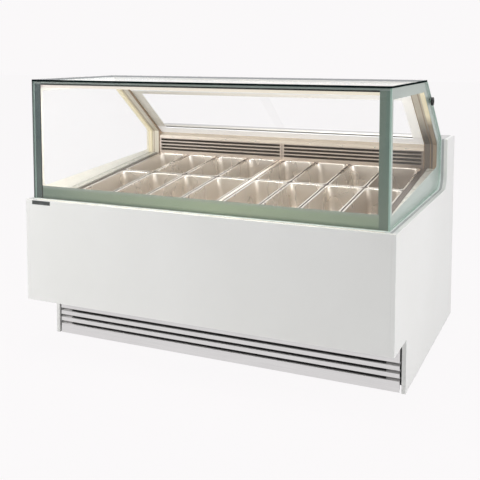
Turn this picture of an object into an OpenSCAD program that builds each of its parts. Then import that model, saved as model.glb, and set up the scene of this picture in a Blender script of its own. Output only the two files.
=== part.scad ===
// Scooping freezer with a square glass canopy and two rows of pans.
// Millimetres. Origin: middle of the footprint on the floor; the customer's side faces -Y, +Z is up.
// Depths named *_y are measured back from the face of the front panel.

/* [Case] */
// Overall width over the side panels
case_w = 1600; // [1580:10:1800]
// Overall depth, front panel to rear edge
case_d = 1200; // [1190:2:1260]
// Height of the cabinet under the glass
body_top_z = 655; // [649:2:665]
// Thickness of a side panel
panel_t = 16; // [12:1:18]
// Height of the rear shoulder of the side panels
shoulder_z = 881; // [877:1:885]
// Depth of the rear shoulder
shoulder_d = 196; // [194:1:199]
// Radius where the shoulder rises from the cabinet top
riser_r = 60; // [40:5:80]
// Height of the toe space
toe_z = 216; // [186:5:236]
// Depth of the toe space
toe_y = 194; // [170:2:196]
// Gap between the panels and the floor
floor_gap = 6; // [4:1:12]
// Width of the grey lip inside each side panel
lip_w = 28; // [26:1:34]
// Depth of the grey lip
lip_h = 28; // [20:2:40]
// Thickness of the folded front panel
front_t = 16; // [12:1:18]

/* [Glass canopy] */
// Height of the top of the glass
glass_top_z = 1166; // [1150:2:1200]
// Side panel face to the outside of the side glass
glass_inset = 28; // [26:1:29]
// Thickness of the glass
glass_t = 8; // [6:1:10]
// Front panel face to the front glass
glass_front_y = 19.5; // [18.5:0.5:24]
// Rear edge of the top glass
slope_top_y = 642; // [630:2:650]
// Lower end of the sloped rear edge
slope_end_z = 888; // [885:1:891]
// Thickness of the glazing strip
seal_t = 3; // [2:0.5:4]
// Height of the light channel under the top glass
channel_h = 14; // [10:1:18]
// Depth of the light channel
channel_w = 28; // [24:1:34]
// Height of a light strip
light_h = 12; // [8:1:14]
// Width of a rear post across the case
post_w = 63; // [53:2:69]
// Depth of the post in front of the doors
post_t = 16; // [12:1:18]
// Width of the pale rear frame
frame_w = 48; // [40:2:56]
// Thickness of the pale rear frame
frame_t = 5; // [3:1:6]
// Diameter of the glass fixing knob
fixing_d = 36; // [28:2:42]
// Height of the glass fixing knob
fixing_h = 9; // [6:1:12]

/* [Rear doors] */
// Thickness of a sliding door
door_t = 5; // [4:0.5:5]
// Width by which the closed doors overlap
door_lap = 50; // [40:5:80]
// Clearance of a door in its groove
door_gap = 0.6; // [0.4:0.1:0.8]
// Width of the edge pull on a door
pull_w = 14; // [10:1:18]

/* [Pans] */
// Front end of the front pans
deck_front = 236; // [232:1:240]
// Rear pans to the rear grille
pan_rear_gap = 4.4; // [4:0.2:8]
// Overlap of the outer pans on the tub walls
pan_over = 4; // [3:0.5:5]
// Depth of a pan
pan_d = 120; // [80:5:124]
// Width of the pan rim
rim_w = 8; // [6:0.5:9]
// Thickness of the pan rim
rim_t = 2; // [1.5:0.1:2.2]
// Thickness of the pan wall
pan_wall = 1.2; // [1:0.1:1.6]
// Corner radius of the pan rim
rim_r = 18; // [12:1:24]
// Gap between pans side by side
pan_gap = 6; // [4:0.5:7]
// Gap between the two rows
row_gap = 8; // [4:0.5:9]
// Width of the centre divider
divider_w = 20; // [18:1:24]
// Columns of pans on each side of the divider
pan_cols = 4; // [4]
// Slope of the pan deck in degrees
deck_tilt = 6.6; // [6:0.1:7]
// Height of the deck between the two rows
deck_z = 704; // [700:1:706]
// Lift that frees a pan from the deck
pan_lift = 122; // [100:1:124]

/* [Tub] */
// Outside of the tub to the outside of the case
tub_inset = 45; // [45:1:48]
// Insulation of the side walls
wall_x = 65; // [60:1:65]
// Insulation of the front wall
wall_y = 60; // [50:2:70]
// Insulation of the floor
floor_t = 50; // [40:5:60]
// Front face of the tub
tub_y = 40; // [36:1:44]
// Underside of the tub
tub_z = 320; // [315:1:325]
// Inside face of the rear wall to the rear of the case
duct_in = 199; // [198:1:201]
// Thickness of the rear wall
wall_rear = 48; // [40:2:56]
// Top of the rear wall
rear_top_z = 827; // [823:1:829]
// Thickness of the steel liner
liner_t = 1.5; // [1:0.1:2]
// Height of the pale ledge above the deck
ledge_h = 2; // [1:0.5:4]
// Front face of the rear grille to the rear of the case
grille_in = 236; // [235:0.5:237]
// Slots in a rear grille
grille_slots = 4; // [3:1:4]
// Height of a grille slot
slot_h = 11; // [8:0.5:12]
// Height of a grille slat
slat_h = 6; // [5:0.5:7]

/* [Kick plate] */
// Grooves in the kick plate
grooves = 3; // [2:1:3]
// Height of the lowest groove's lower edge
groove_z = 48; // [40:1:60]
// Pitch of the grooves
groove_pitch = 29.5; // [26:0.5:32]
// Height of a groove
groove_h = 13; // [10:0.5:15]
// Depth of a groove
groove_y = 12; // [8:1:14]
// Height of the punched air slots
punch_h = 4; // [3:0.5:5]
// Plain ends of the kick plate beside the punched air slots
punch_end = 54; // [46:2:170]
// Sheet thickness of folded steel
sheet_t = 1.5; // [1:0.1:2]

/* [Base and feet] */
// Size of the square frame tube
tube = 30; // [25:1:36]
// Underside of the base frame
frame_z = 28; // [24:1:34]
// Diameter of a foot pad
foot_d = 50; // [40:2:60]
// Thickness of a foot pad
foot_h = 12; // [8:1:14]
// Diameter of a foot stud
stud_d = 12; // [10:1:14]

/* [Service side] */
// Thickness of the worktop
worktop_t = 24; // [20:1:25]
// Depth of the worktop
worktop_d = 189; // [188:0.5:189.5]
// Recess of the rear service panel
service_in = 14; // [12:1:20]
// Width of the control panel
control_w = 240; // [200:5:300]
// Height of the control panel
control_h = 84; // [70:2:100]
// Width of a rocker switch
rocker_w = 22; // [18:1:26]
// Height of a rocker switch
rocker_h = 30; // [26:1:34]
// Travel of a rocker switch in degrees
rocker_turn = 12; // [8:1:14]
// Vent slots in the service panel
vents = 9; // [5:1:9]

/* [Refrigeration] */
// Length of the evaporator coil
coil_l = 1100; // [900:10:1200]
// Depth of the evaporator coil
coil_w = 330; // [280:5:360]
// Height of the evaporator coil
coil_h = 104; // [100:2:108]
// Diameter of an evaporator fan
fan_d = 92; // [80:1:94]
// Distance between the evaporator fans
fan_pitch = 480; // [400:10:600]
// Diameter of the compressor
compressor_d = 190; // [160:5:200]
// Height of the compressor
compressor_h = 215; // [180:5:225]
// Length of the condenser
condenser_l = 420; // [380:10:480]
// Depth of the condenser
condenser_w = 60; // [50:2:70]
// Height of the condenser
condenser_h = 240; // [234:2:244]
// Diameter of the condenser fan
cond_fan_d = 200; // [180:2:206]
// Running clearance of a fan on its shaft, on the radius
shaft_gap = 0.05; // [0.02:0.01:0.09]

/* [Hidden] */
$fn = 48;
eps = 0.01;
fit = 0.3;             // clearance where one piece seats on or beside another
shaft_d = 6;           // fan shafts
pane_x = case_w / 2 - glass_inset;      // outside of the side glass
pane_in = pane_x - glass_t;             // inside of the side glass
panel_in = case_w / 2 - panel_t;        // inside of a side panel
lip_x = panel_in - lip_w;               // inner edge of a grey lip
riser_y = case_d - shoulder_d;          // front face of the rear shoulder
duct_y = case_d - duct_in;
grille_y = case_d - grille_in;
worktop_y = case_d - worktop_d;
punch_l = 2 * (panel_in - 8 - punch_end);   // length of the punched air slots
tub_x = case_w / 2 - tub_inset;         // outside of the tub
cavity_x = tub_x - wall_x;              // inside of the tub
glass_base_z = body_top_z + seal_t;
glass_rear_y = riser_y - seal_t;
pane_top_z = glass_top_z - glass_t;
slope = atan2(glass_top_z - slope_end_z, glass_rear_y - slope_top_y);
slope_l = norm([glass_rear_y - slope_top_y, glass_top_z - slope_end_z]);
post_x = pane_in - fit - post_w;        // inner side of a rear post
post_back_y = glass_rear_y - 2;         // back of a post's upright part
deck_y = (deck_front + grille_y - pan_rear_gap) / 2;   // middle of the two rows
pan_l = (grille_y - pan_rear_gap - deck_y) / cos(deck_tilt) - row_gap / 2;   // length over the rim
pan_pitch = (cavity_x + pan_over - divider_w / 2) / pan_cols;
pan_w = pan_pitch - pan_gap;            // width over the rim
pans_x = divider_w / 2 + pan_cols * pan_pitch;   // outer edge of the outermost column
frame_o = -rim_t - fit;                 // top of the pan frame, below the deck plane
seat_o = -9;                            // top of the tub walls, below the deck plane
bearing = 5;                            // bearing of a pan rim on the frame
frame_side = 24;                        // side strips of the pan frame, beyond the cavity
door_o = [-27.5, -19];                  // inner faces of the two doors, from the slope plane
post_back_o = -29;                      // back of the posts and the rear frame
track_top_s = 12;                       // rails along the slope, from the top edge of the glass
track_end_s = 62;
frame_top_s = 106;
frame_low_s = slope_l - 35;
track_low_s = slope_l - 19;
slope_end_s = slope_l + 11;
door_top_s = 34;
door_low_s = slope_l + 3;
sill_y = grille_y + 2;
sill_z = rear_top_z + 14;
machine_z = frame_z + tube;             // top of the base frame
kick_y = toe_y + 4;
kick_h = toe_z - fit;                    // top of the kick plate
frame_y = toe_y + 24;                    // front of the base frame
service_y = case_d - service_in;        // outside of the rear service panel
control_x = panel_in - 224;             // middle of the control panel
control_z = shoulder_z - worktop_t - tube - control_h / 2;
fan_y = duct_y - 163;                   // middle of an evaporator fan's blades
coil_y = fan_y - 48 - coil_w;
coil_z = tub_z + floor_t + liner_t + 2 * fit;
shroud_y = coil_y + coil_w;
drain_y = coil_y + 100;
fan_z = coil_z + coil_h / 2;
condenser_x = 0.42 * panel_in;
condenser_y = 262;
cond_fan_y = condenser_y + condenser_w + 34;
cond_fan_z = machine_z + condenser_h / 2;
compressor_at = [-0.485 * panel_in, service_y - 426];
line_y = 60;             // stub of the discharge line, from the middle of the compressor
line_z = 120;
line_x = compressor_d / 2 + 12;
line_d = 10;
suction_z = compressor_h - 100 + 12;     // height of the suction stub

PAN_NAMES = [for (row = ["front", "rear"]) for (i = [1:2 * pan_cols]) str("pan_", row, "_", i)];

// ---- helpers ----

function arc(cy, cz, r, a0, a1, n = 12) =
    [for (i = [0:n]) [cy + r * cos(a0 + (a1 - a0) * i / n), cz + r * sin(a0 + (a1 - a0) * i / n)]];

// Point on the rear slope: s down from the top edge of the glass, o outward from the slope plane.
function slope_pt(s, o) =
    [slope_top_y + s * cos(slope) + o * sin(slope), glass_top_z - s * sin(slope) + o * cos(slope)];

// Height of the deck at depth y, o above the deck plane.
function deck_at(y, o = 0) = deck_z + (y - deck_y) * tan(deck_tilt) + o / cos(deck_tilt);

// Line that the glass follows along the cabinet top and up the shoulder, g outside it.
function case_line(g, y0, z1) = concat(
    [[y0, body_top_z + g]],
    arc(riser_y - riser_r, body_top_z + riser_r, riser_r - g, -90, 0),
    [[riser_y - g, z1]]);

function reversed(v) = [for (i = [len(v) - 1:-1:0]) v[i]];

module at_front() translate([0, -case_d / 2, 0]) children();

// Carries an outline drawn in depth and height along the width of the case.
module across(x0, x1) at_front() translate([x0, 0, 0]) rotate([90, 0, 90]) linear_extrude(x1 - x0) children();

module both_sides() {
    children();
    mirror([1, 0, 0]) children();
}

module on_deck() at_front() translate([0, deck_y, deck_z]) rotate([deck_tilt, 0, 0]) children();

module box(lo, hi) translate(lo) cube(hi - lo);

module rounded(w, l, r) {
    translate([0, r]) square([w, l - 2 * r]);
    translate([r, 0]) square([w - 2 * r, l]);
    for (x = [r, w - r], y = [r, l - r]) translate([x, y]) circle(r);
}

// Bar lying in the slope, between two distances down it and two offsets from its plane.
module slope_bar(x0, x1, s0, s1, o0, o1)
    across(x0, x1) polygon([slope_pt(s0, o0), slope_pt(s1, o0), slope_pt(s1, o1), slope_pt(s0, o1)]);

// ---- base ----

module frame_ring(y0, y1, x, z) {
    for (y = [y0, y1 - tube]) box([-x, y, z], [x, y + tube, z + tube]);
    for (s = [-1, 1]) box([s * (x - tube / 2) - tube / 2, y0, z], [s * (x - tube / 2) + tube / 2, y1, z + tube]);
}

column_x = panel_in - fit - tube;         // middle of the corner columns
feet = [for (x = [-1, 0, 1]) for (y = [toe_y + 60, service_y - 50]) [x * (panel_in - 60), y]];

module base_frame() color("dimgray") at_front() difference() {
    union() {
        frame_ring(frame_y, service_y - fit - sheet_t, panel_in - fit, frame_z);
        for (x = [-panel_in / 2, 0, panel_in / 2])
            box([x - tube / 2, frame_y, frame_z], [x + tube / 2, service_y - 2, machine_z]);
        // uprights under the tub
        for (x = [-1, 0, 1]) for (y = [frame_y, duct_y])
            box([x * column_x - tube, y, frame_z], [x * column_x + tube, y + tube, tub_z]);
        // uprights and rail under the worktop
        for (s = [-1, 1])
            box([s * column_x - tube, service_y - tube - 2, frame_z],
                [s * column_x + tube, service_y - 2, shoulder_z - worktop_t]);
        box([-column_x, service_y - tube - 2, shoulder_z - worktop_t - tube],
            [column_x, service_y - 2, shoulder_z - worktop_t]);
        // plates for the feet
        for (p = feet) translate([p[0], p[1], frame_z]) translate([-35, -35, 0]) cube([70, 70, 6]);
        // shelf for the compressor and the condenser
        box([compressor_at[0] - 130, compressor_at[1] - 120, machine_z - 4],
            [compressor_at[0] + 130, service_y - 2, machine_z]);
        box([condenser_x - condenser_l / 2, frame_y, machine_z - 4],
            [condenser_x + condenser_l / 2, cond_fan_y + 60, machine_z]);
        box([condenser_x - 20, cond_fan_y + 59, machine_z - 4], [condenser_x + 20, service_y - 2, machine_z]);
        box([compressor_at[0] - 20, frame_y + 2, machine_z - 4],
            [compressor_at[0] + 20, compressor_at[1], machine_z]);
    }
    for (p = feet) translate([p[0], p[1], frame_z - 1]) cylinder(d = stud_d + 2 * fit, h = tube + 2);
}

module levelling_feet() color("#303030") at_front() for (p = feet) translate([p[0], p[1], 0]) {
    cylinder(d = foot_d, h = foot_h * 0.6);
    translate([0, 0, foot_h * 0.6]) cylinder(d1 = foot_d, d2 = stud_d + 8, h = foot_h * 0.4);
    translate([0, 0, foot_h]) cylinder(d = stud_d, h = machine_z - 4 - foot_h);
    translate([0, 0, frame_z - 7]) cylinder(d = stud_d + 8, h = 6.9, $fn = 6);
}

// ---- case ----

module side_outline() polygon(concat(
    [[0, toe_z]], case_line(0, 0, shoulder_z),
    [[case_d, shoulder_z], [case_d, floor_gap], [toe_y, floor_gap], [toe_y, toe_z]]));

module side_panel_right() color("#f0f0ee") across(panel_in, case_w / 2) side_outline();

module side_panel_left() color("#f0f0ee") mirror([1, 0, 0]) across(panel_in, case_w / 2) side_outline();

module side_lips() color("#a8abab") both_sides() across(lip_x, panel_in)
    polygon(concat(case_line(0, front_t + 1, shoulder_z), reversed(case_line(-lip_h, front_t + 1, shoulder_z))));

module glazing_strip() color("#e6ece8") {
    both_sides() across(pane_in - 1, pane_x + 1) polygon(concat(
        case_line(0, glass_front_y + glass_t, shoulder_z), reversed(case_line(seal_t, glass_front_y + glass_t, shoulder_z))));
    at_front() box([-pane_x - 1, glass_front_y - 1, body_top_z], [pane_x + 1, glass_front_y + glass_t + 1, glass_base_z]);
}

plate_w = 94;
plate_h = 17;
plate_x = -panel_in + 16;
plate_z = body_top_z - 4 - plate_h;

module front_panel() color("#ececea") at_front() {
    x = panel_in - fit;
    difference() {
        box([-x, 0, toe_z], [x, front_t, body_top_z - 1]);
        box([-x + sheet_t, sheet_t, toe_z + sheet_t], [x - sheet_t, front_t + 1, body_top_z - 1 - sheet_t]);
        box([plate_x, -1, plate_z], [plate_x + plate_w, sheet_t + 1, plate_z + plate_h]);
    }
    // return under the cabinet, over the kick plate
    box([-x, sheet_t - eps, toe_z], [x, kick_y + groove_y, toe_z + sheet_t]);
    // stiffeners that seat on the tub
    for (s = [-0.6, 0, 0.6])
        box([s * x - 25, sheet_t - eps, tub_z + 10], [s * x + 25, tub_y, body_top_z - 40]);
}

module name_plate() color("#4a4e4e") at_front()
    box([plate_x + fit / 2, 0, plate_z + fit / 2],
        [plate_x + plate_w - fit / 2, sheet_t + 1.5, plate_z + plate_h - fit / 2]);

// ---- kick plate ----

// One groove, front line at t = 0 and the back of the sheet at t: lower lip, back, top.
function groove_pts(z, t) = [
    [kick_y + t, z - 0.6 * t],
    [kick_y + groove_y + t, z + groove_h - punch_h - 1 - 0.6 * t],
    [kick_y + groove_y + t, z + groove_h + t],
    [kick_y + t, z + groove_h + t]];

function kick_line(t) = concat([[kick_y + t, floor_gap]],
    [for (k = [0:grooves - 1]) for (p = groove_pts(groove_z + k * groove_pitch, t)) p],
    [[kick_y + t, kick_h]]);

module kick_plate() color("#cfcfcd") {
    x = panel_in - 8;
    difference() {
        across(-x, x) polygon(concat(kick_line(0), reversed(kick_line(sheet_t))));
        at_front() for (k = [0:grooves - 1]) {
            z = groove_z + k * groove_pitch + groove_h;
            box([-punch_l / 2, kick_y + groove_y - 1, z - punch_h], [punch_l / 2, kick_y + groove_y + sheet_t + 1, z - 0.4]);
        }
    }
    // tabs that hang it on the base frame
    at_front() for (x1 = [-0.97, -0.33, 0.33, 0.97])
        box([x1 * x - 20, kick_y + sheet_t - eps, floor_gap + 2], [x1 * x + 20, frame_y, groove_z - 4]);
}

module air_filter() color("#1c1c1c") at_front() {
    y = kick_y + groove_y + sheet_t + 2;
    difference() {
        box([-punch_l / 2 - 12, y, machine_z - tube + 24], [punch_l / 2 + 12, frame_y - fit, kick_h]);
        for (i = [-8:8])
            box([(i - 0.43) * punch_l / 17.2, y - 1, kick_h - 22], [(i + 0.43) * punch_l / 17.2, y + 1, kick_h - 10]);
    }
}

// ---- tub ----

module insulated_tub() color("#dcdcda") difference() {
    across(-tub_x, tub_x) polygon([
        [tub_y, tub_z], [tub_y, deck_at(tub_y, seat_o)], [duct_y, deck_at(duct_y, seat_o)],
        [duct_y, rear_top_z - fit], [duct_y + wall_rear, rear_top_z - fit], [duct_y + wall_rear, tub_z]]);
    at_front() box([-cavity_x, tub_y + wall_y, tub_z + floor_t], [cavity_x, duct_y, glass_top_z]);
    at_front() translate([0, drain_y, tub_z - 1]) cylinder(d = 34, h = floor_t + 2);
}

module tub_liner() color("#8f8a84") difference() {
    across(-cavity_x + fit, cavity_x - fit) polygon([
        [tub_y + wall_y + fit, tub_z + floor_t + fit],
        [tub_y + wall_y + fit, deck_at(tub_y + wall_y, seat_o)], [duct_y - fit, deck_at(duct_y, seat_o)],
        [duct_y - fit, tub_z + floor_t + fit]]);
    at_front() box(
        [-cavity_x + fit + liner_t, tub_y + wall_y + fit + liner_t, tub_z + floor_t + fit + liner_t],
        [cavity_x - fit - liner_t, duct_y - fit - liner_t, glass_top_z]);
    at_front() translate([0, drain_y, tub_z]) cylinder(d = 34, h = floor_t + 10);
}

pan_front_y = deck_y - (row_gap / 2 + pan_l + 12) * cos(deck_tilt);

module front_deck() color("#c9c7c2") difference() {
    across(-tub_x, tub_x) polygon([
        [front_t + 1, body_top_z - 28], [front_t + 1, body_top_z], [glass_front_y + glass_t + 4, body_top_z],
        [glass_front_y + glass_t + 4, deck_at(glass_front_y + glass_t + 4)], [pan_front_y - fit, deck_at(pan_front_y)],
        [pan_front_y - fit, deck_at(pan_front_y, seat_o + fit)], [tub_y - fit, deck_at(tub_y, seat_o + fit)],
        [tub_y - fit, body_top_z - 28]]);
    // air-return slots over the cavity
    for (i = [-7:7], k = [0:3]) at_front() translate([(i - 0.432) * cavity_x / 7.84, tub_y + wall_y + 14 + k * 26, 600])
        cube([0.864 * cavity_x / 7.84, 12, 100]);
    both_sides() at_front() box([lip_x - fit, 0, 0], [case_w, 400, body_top_z + 1]);
}

module side_ledges() color("#efece2") both_sides() across(cavity_x + frame_side + 5, tub_x)
    polygon([for (p = [[pan_front_y, seat_o + fit], [pan_front_y, ledge_h], [grille_y - 3, ledge_h], [grille_y - 3, seat_o + fit]])
        [p[0], deck_at(p[0], p[1])]]);

// ---- pans and their frame ----

rows = [-row_gap / 2 - pan_l, row_gap / 2];

module pan_frame() color("#d8d2c8") on_deck() {
    x = cavity_x + frame_side;
    y0 = rows[0] - 12;
    y1 = rows[1] + pan_l + 17;
    side_y = (post_face_y - fit - deck_y) / cos(deck_tilt) - 2;
    h = frame_o - seat_o - fit;
    lines = [for (s = [-1, 1]) for (i = [0:pan_cols - 1]) s * (divider_w / 2 + i * pan_pitch)];
    bar = pan_gap / 2 + bearing;
    translate([0, 0, seat_o + fit]) {
        difference() {
            union() {
                for (c = lines) box([c - bar, y0, 0], [c + bar, y1, h]);
                for (s = [0, 1]) mirror([s, 0, 0]) {
                    box([pans_x - pan_gap / 2 - bearing, y0, 0], [cavity_x + 6, y1, h]);
                    box([pans_x - pan_gap / 2 - bearing, y0, 0], [x, side_y, h]);
                }
                box([-x, y0, 0], [x, rows[0] + bearing, h]);
                box([-x, -row_gap / 2 - bearing, 0], [x, row_gap / 2 + bearing, h]);
                box([-cavity_x - 6, rows[1] + pan_l - bearing, 0], [cavity_x + 6, y1, h]);
            }
            // slots between the columns and between the rows
            for (c = lines) for (y = rows)
                box([c - pan_gap / 2, y + bearing + 4, -1], [c + pan_gap / 2, y + pan_l - bearing - 4, h + 1]);
            for (i = [0:2 * pan_cols - 1])
                box([pan_x(i) + 16, -row_gap / 2, -1], [pan_x(i) + pan_w - 16, row_gap / 2, h + 1]);
        }
        // centre divider, raised flush with the rims
        box([-divider_w / 2 + 2, y0, 0], [divider_w / 2 - 2, rows[1] + pan_l + 4, -seat_o - fit]);
    }
}

module pan() color("#b9aa9b") difference() {
    union() {
        translate([0, 0, -rim_t]) linear_extrude(rim_t) rounded(pan_w, pan_l, rim_r);
        translate([rim_w, rim_w, -pan_d])
            linear_extrude(pan_d - rim_t / 2) rounded(pan_w - 2 * rim_w, pan_l - 2 * rim_w, rim_r + 6);
    }
    translate([rim_w + pan_wall, rim_w + pan_wall, -pan_d + pan_wall]) linear_extrude(pan_d + 1)
        rounded(pan_w - 2 * rim_w - 2 * pan_wall, pan_l - 2 * rim_w - 2 * pan_wall, rim_r + 6 - pan_wall);
}

// Left edge of the rim in column i, counted from the left.
function pan_x(i) = (i < pan_cols ? -pans_x : divider_w / 2 - pan_cols * pan_pitch) + i * pan_pitch + pan_gap / 2;

module pan_at(i) on_deck()
    translate([pan_x(i % (2 * pan_cols)), rows[floor(i / (2 * pan_cols))], 0]) pan();

// ---- glass ----

module front_glass() color("#b9cfc6", 0.4) at_front()
    box([-pane_x, glass_front_y, glass_base_z], [pane_x, glass_front_y + glass_t, pane_top_z]);

module side_pane() across(pane_in, pane_x) polygon(concat(
    case_line(seal_t, glass_front_y + glass_t, slope_end_z),
    [slope_pt(glass_t / sin(slope), 0), [glass_front_y + glass_t, pane_top_z]]));

module side_glass_right() color("#b9cfc6", 0.4) difference() {
    side_pane();
    fixing_axis() cylinder(d = 12, h = 200, center = true);
}

module side_glass_left() color("#b9cfc6", 0.4) mirror([1, 0, 0]) difference() {
    side_pane();
    fixing_axis() cylinder(d = 12, h = 200, center = true);
}

module top_glass() color("#b9cfc6", 0.4) at_front()
    box([-pane_x, glass_front_y, pane_top_z], [pane_x, slope_top_y, glass_top_z]);

fixing_pt = slope_pt(136, -14);

module fixing_axis() at_front() translate([pane_x, fixing_pt[0], fixing_pt[1]]) rotate([0, 90, 0]) children();

module glass_fixings() color("#161616") both_sides() fixing_axis() {
    difference() {
        cylinder(d = fixing_d, h = fixing_h);
        translate([0, 0, fixing_h - 3]) cylinder(d = fixing_d * 0.5, h = 4);
    }
    translate([0, 0, -glass_t - fit]) cylinder(d = 11.4, h = glass_t + fit + 1);
}

// ---- lights, posts and rear frame ----

channel_y = glass_front_y + glass_t + 2;

module light_channel() color("#b8bcbc") at_front() difference() {
    box([-pane_in + fit, channel_y - 2 + fit, pane_top_z - channel_h], [pane_in - fit, channel_y + channel_w, pane_top_z]);
    box([-pane_in + 10, channel_y + 4, pane_top_z - channel_h - 1], [pane_in - 10, channel_y + channel_w - 4, pane_top_z - channel_h + 6]);
}

strip_x = [pane_in - 20, pane_in - 4];

module light_strips() color("#fff0c8") {
    at_front() box([-pane_in + 10.5, channel_y + 4.5, pane_top_z - channel_h - light_h],
        [pane_in - 10.5, channel_y + channel_w - 4.5, pane_top_z - channel_h + 6]);
    both_sides() across(strip_x[0], strip_x[1]) polygon([
        slope_pt(track_top_s + 14, post_o - 8), post_knee(-8), [post_face_y - 8, deck_at(post_face_y - 8, ledge_h + fit)],
        [post_face_y, deck_at(post_face_y, ledge_h + fit)], post_knee(0), slope_pt(track_top_s + 14, post_o)]);
}

post_o = post_back_o - post_t;          // front face of a post, from the slope plane
post_face_y = glass_rear_y - 40;        // front face of its upright part

// Where the sloped and upright front faces meet, d in front of them.
function post_knee(d) =
    [post_face_y + d, glass_top_z - ((post_face_y + d - slope_top_y) - (post_o + d) / sin(slope)) * tan(slope)];

module rear_posts() color("#c9bba6") both_sides() across(post_x, pane_in - fit) polygon([
    slope_pt(track_top_s, post_o), post_knee(0), [post_face_y, deck_at(post_face_y, seat_o + fit)],
    [post_back_y, deck_at(post_back_y, seat_o + fit)], [post_back_y, rear_top_z + 2],
    slope_pt(slope_end_s, post_back_o), slope_pt(track_top_s, post_back_o)]);

module rear_frame() color("#dedbd2") difference() {
    slope_bar(-post_x + fit, post_x - fit, track_top_s, slope_end_s, post_back_o - frame_t, post_back_o);
    slope_bar(-post_x + frame_w, post_x - frame_w, frame_top_s, frame_low_s, post_back_o - 20, post_back_o + 5);
}

module door_tracks() color("#b4b0a8") difference() {
    union() {
        slope_bar(-lip_x + fit, lip_x - fit, track_top_s, track_end_s, post_back_o + fit, -4);
        slope_bar(-lip_x + fit, lip_x - fit, track_low_s, slope_end_s, post_back_o + fit, -4);
        // flange that carries the upper rail on the top glass
        across(-lip_x + fit, lip_x - fit) polygon([
            [slope_pt(track_top_s, post_o)[0], pane_top_z], slope_pt(track_top_s, post_back_o + fit),
            slope_pt(track_top_s, -4), [slope_top_y - 2, pane_top_z]]);
    }
    for (o = door_o) slope_bar(-case_w, case_w, track_end_s - 31, track_end_s + 1, o - door_gap, o + door_t + door_gap);
    for (o = door_o) slope_bar(-case_w, case_w, track_low_s - 1, door_low_s + door_gap, o - door_gap, o + door_t + door_gap);
}

module door_sill() color("#8c8276") difference() {
    across(-lip_x + fit, lip_x - fit) polygon([
        [sill_y, rear_top_z], [sill_y, sill_z], slope_pt(slope_end_s + fit, post_back_o - frame_t),
        slope_pt(slope_end_s + fit, -4), [worktop_y - 1, shoulder_z - worktop_t],
        [duct_y + wall_rear, shoulder_z - worktop_t], [duct_y + wall_rear, rear_top_z]]);
    // the ends pass behind the posts
    both_sides() at_front() box([post_x - fit, 0, rear_top_z - 1], [case_w, post_back_y + fit, glass_top_z]);
}

// ---- sliding doors ----

door_edge = post_x + 8;                 // outer edge of a closed door, behind its post

module door_panel(o) slope_bar(-door_edge, door_lap / 2, door_top_s, door_low_s, o, o + door_t);

module door_left() color("#dfe9e6", 0.4) door_panel(door_o[0]);

module door_right() color("#dfe9e6", 0.4) mirror([1, 0, 0]) door_panel(door_o[1]);

// Edge pull: a strip on the outer face of the door beside its outer edge.
module door_pull(o, h) slope_bar(-door_edge, -door_edge + pull_w, track_end_s + 30, track_low_s - 20, o + door_t, o + door_t + h);

module door_pull_left() color("#9a9a98") door_pull(door_o[0], 2.4);

module door_pull_right() color("#9a9a98") mirror([1, 0, 0]) door_pull(door_o[1], 9);

// ---- rear grille ----

grille_z = deck_at(grille_y + 3, frame_o) + fit;

module grille_half(x0, x1) {
    top = rear_top_z - fit;
    pitch = slot_h + slat_h;
    difference() {
        box([x0, grille_y, grille_z], [x1, grille_y + sheet_t, top]);
        for (k = [0:grille_slots - 1])
            box([x0 + 10, grille_y - 1, top - 4 - slot_h - k * pitch], [x1 - 10, grille_y + 3, top - 4 - k * pitch]);
    }
    // slanted louvre behind each slot
    for (k = [0:grille_slots - 1])
        translate([x0 + 6, grille_y + sheet_t - eps, top - 4 - slot_h - k * pitch - 2])
            rotate([-35, 0, 0]) cube([x1 - x0 - 12, 12, 1.2]);
    // return flange at the top
    box([x0, grille_y, top - sheet_t], [x1, duct_y - 2, top]);
}

module rear_grilles() color("#9a8f82") at_front() {
    grille_half(-post_x + 1, -1);
    grille_half(1, post_x - 1);
}

// ---- refrigeration ----

module fan_wheel(d, hub_d, h, n, bore) difference() {
    union() {
        cylinder(d = hub_d, h = h, center = true);
        for (i = [0:n - 1]) rotate([0, 0, i * 360 / n]) intersection() {
            translate([hub_d / 2 - 1, 0, 0]) rotate([32, 0, 0])
                translate([0, -d * 0.17, -0.7]) cube([(d - hub_d) / 2, d * 0.34, 1.4]);
            cylinder(d = d, h = h, center = true);
        }
    }
    translate([0, 0, -h]) cylinder(d = bore, h = 2 * h);
}

module fan_place(x) at_front() translate([x, fan_y, fan_z]) rotate([-90, 0, 0]) children();

fan_h = 20;

module evaporator() color("#a9adad") {
    at_front() {
        // fin block with its tube bends
        box([-coil_l / 2, coil_y, coil_z], [coil_l / 2, shroud_y, coil_z + coil_h]);
        for (s = [-1, 1]) for (k = [0:4]) translate([s * coil_l / 2, coil_y + 40 + k * 60, coil_z + coil_h / 2])
            rotate([0, 90, 0]) cylinder(d = 12, h = 30, center = true);
        // fan shroud
        difference() {
            box([-coil_l / 2, shroud_y, coil_z], [coil_l / 2, fan_y + 14, coil_z + coil_h]);
            box([-coil_l / 2 + 2, shroud_y + 1, coil_z + 1], [coil_l / 2 - 2, fan_y + 12, coil_z + coil_h - 1]);
            for (s = [-0.5, 0.5]) translate([s * fan_pitch, fan_y, fan_z]) rotate([-90, 0, 0])
                cylinder(d = fan_d + 4, h = 40);
        }
    }
    for (s = [-0.5, 0.5]) fan_place(s * fan_pitch) {
        cylinder(d = shaft_d, h = 46, center = false);
        translate([0, 0, fan_h / 2 + 6]) cylinder(d = 34, h = 34);
        for (a = [0, 120, 240]) rotate([0, 0, a + 30]) translate([15, -3, 13.5]) cube([fan_d / 2 - 10, 6, 5]);
    }
}

module evaporator_fan(x) fan_place(x)
    fan_wheel(fan_d, 30, fan_h, 5, shaft_d + 2 * shaft_gap);

module evaporator_fan_left() color("#2b2b2b") evaporator_fan(-fan_pitch / 2);

module evaporator_fan_right() color("#2b2b2b") evaporator_fan(fan_pitch / 2);

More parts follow.
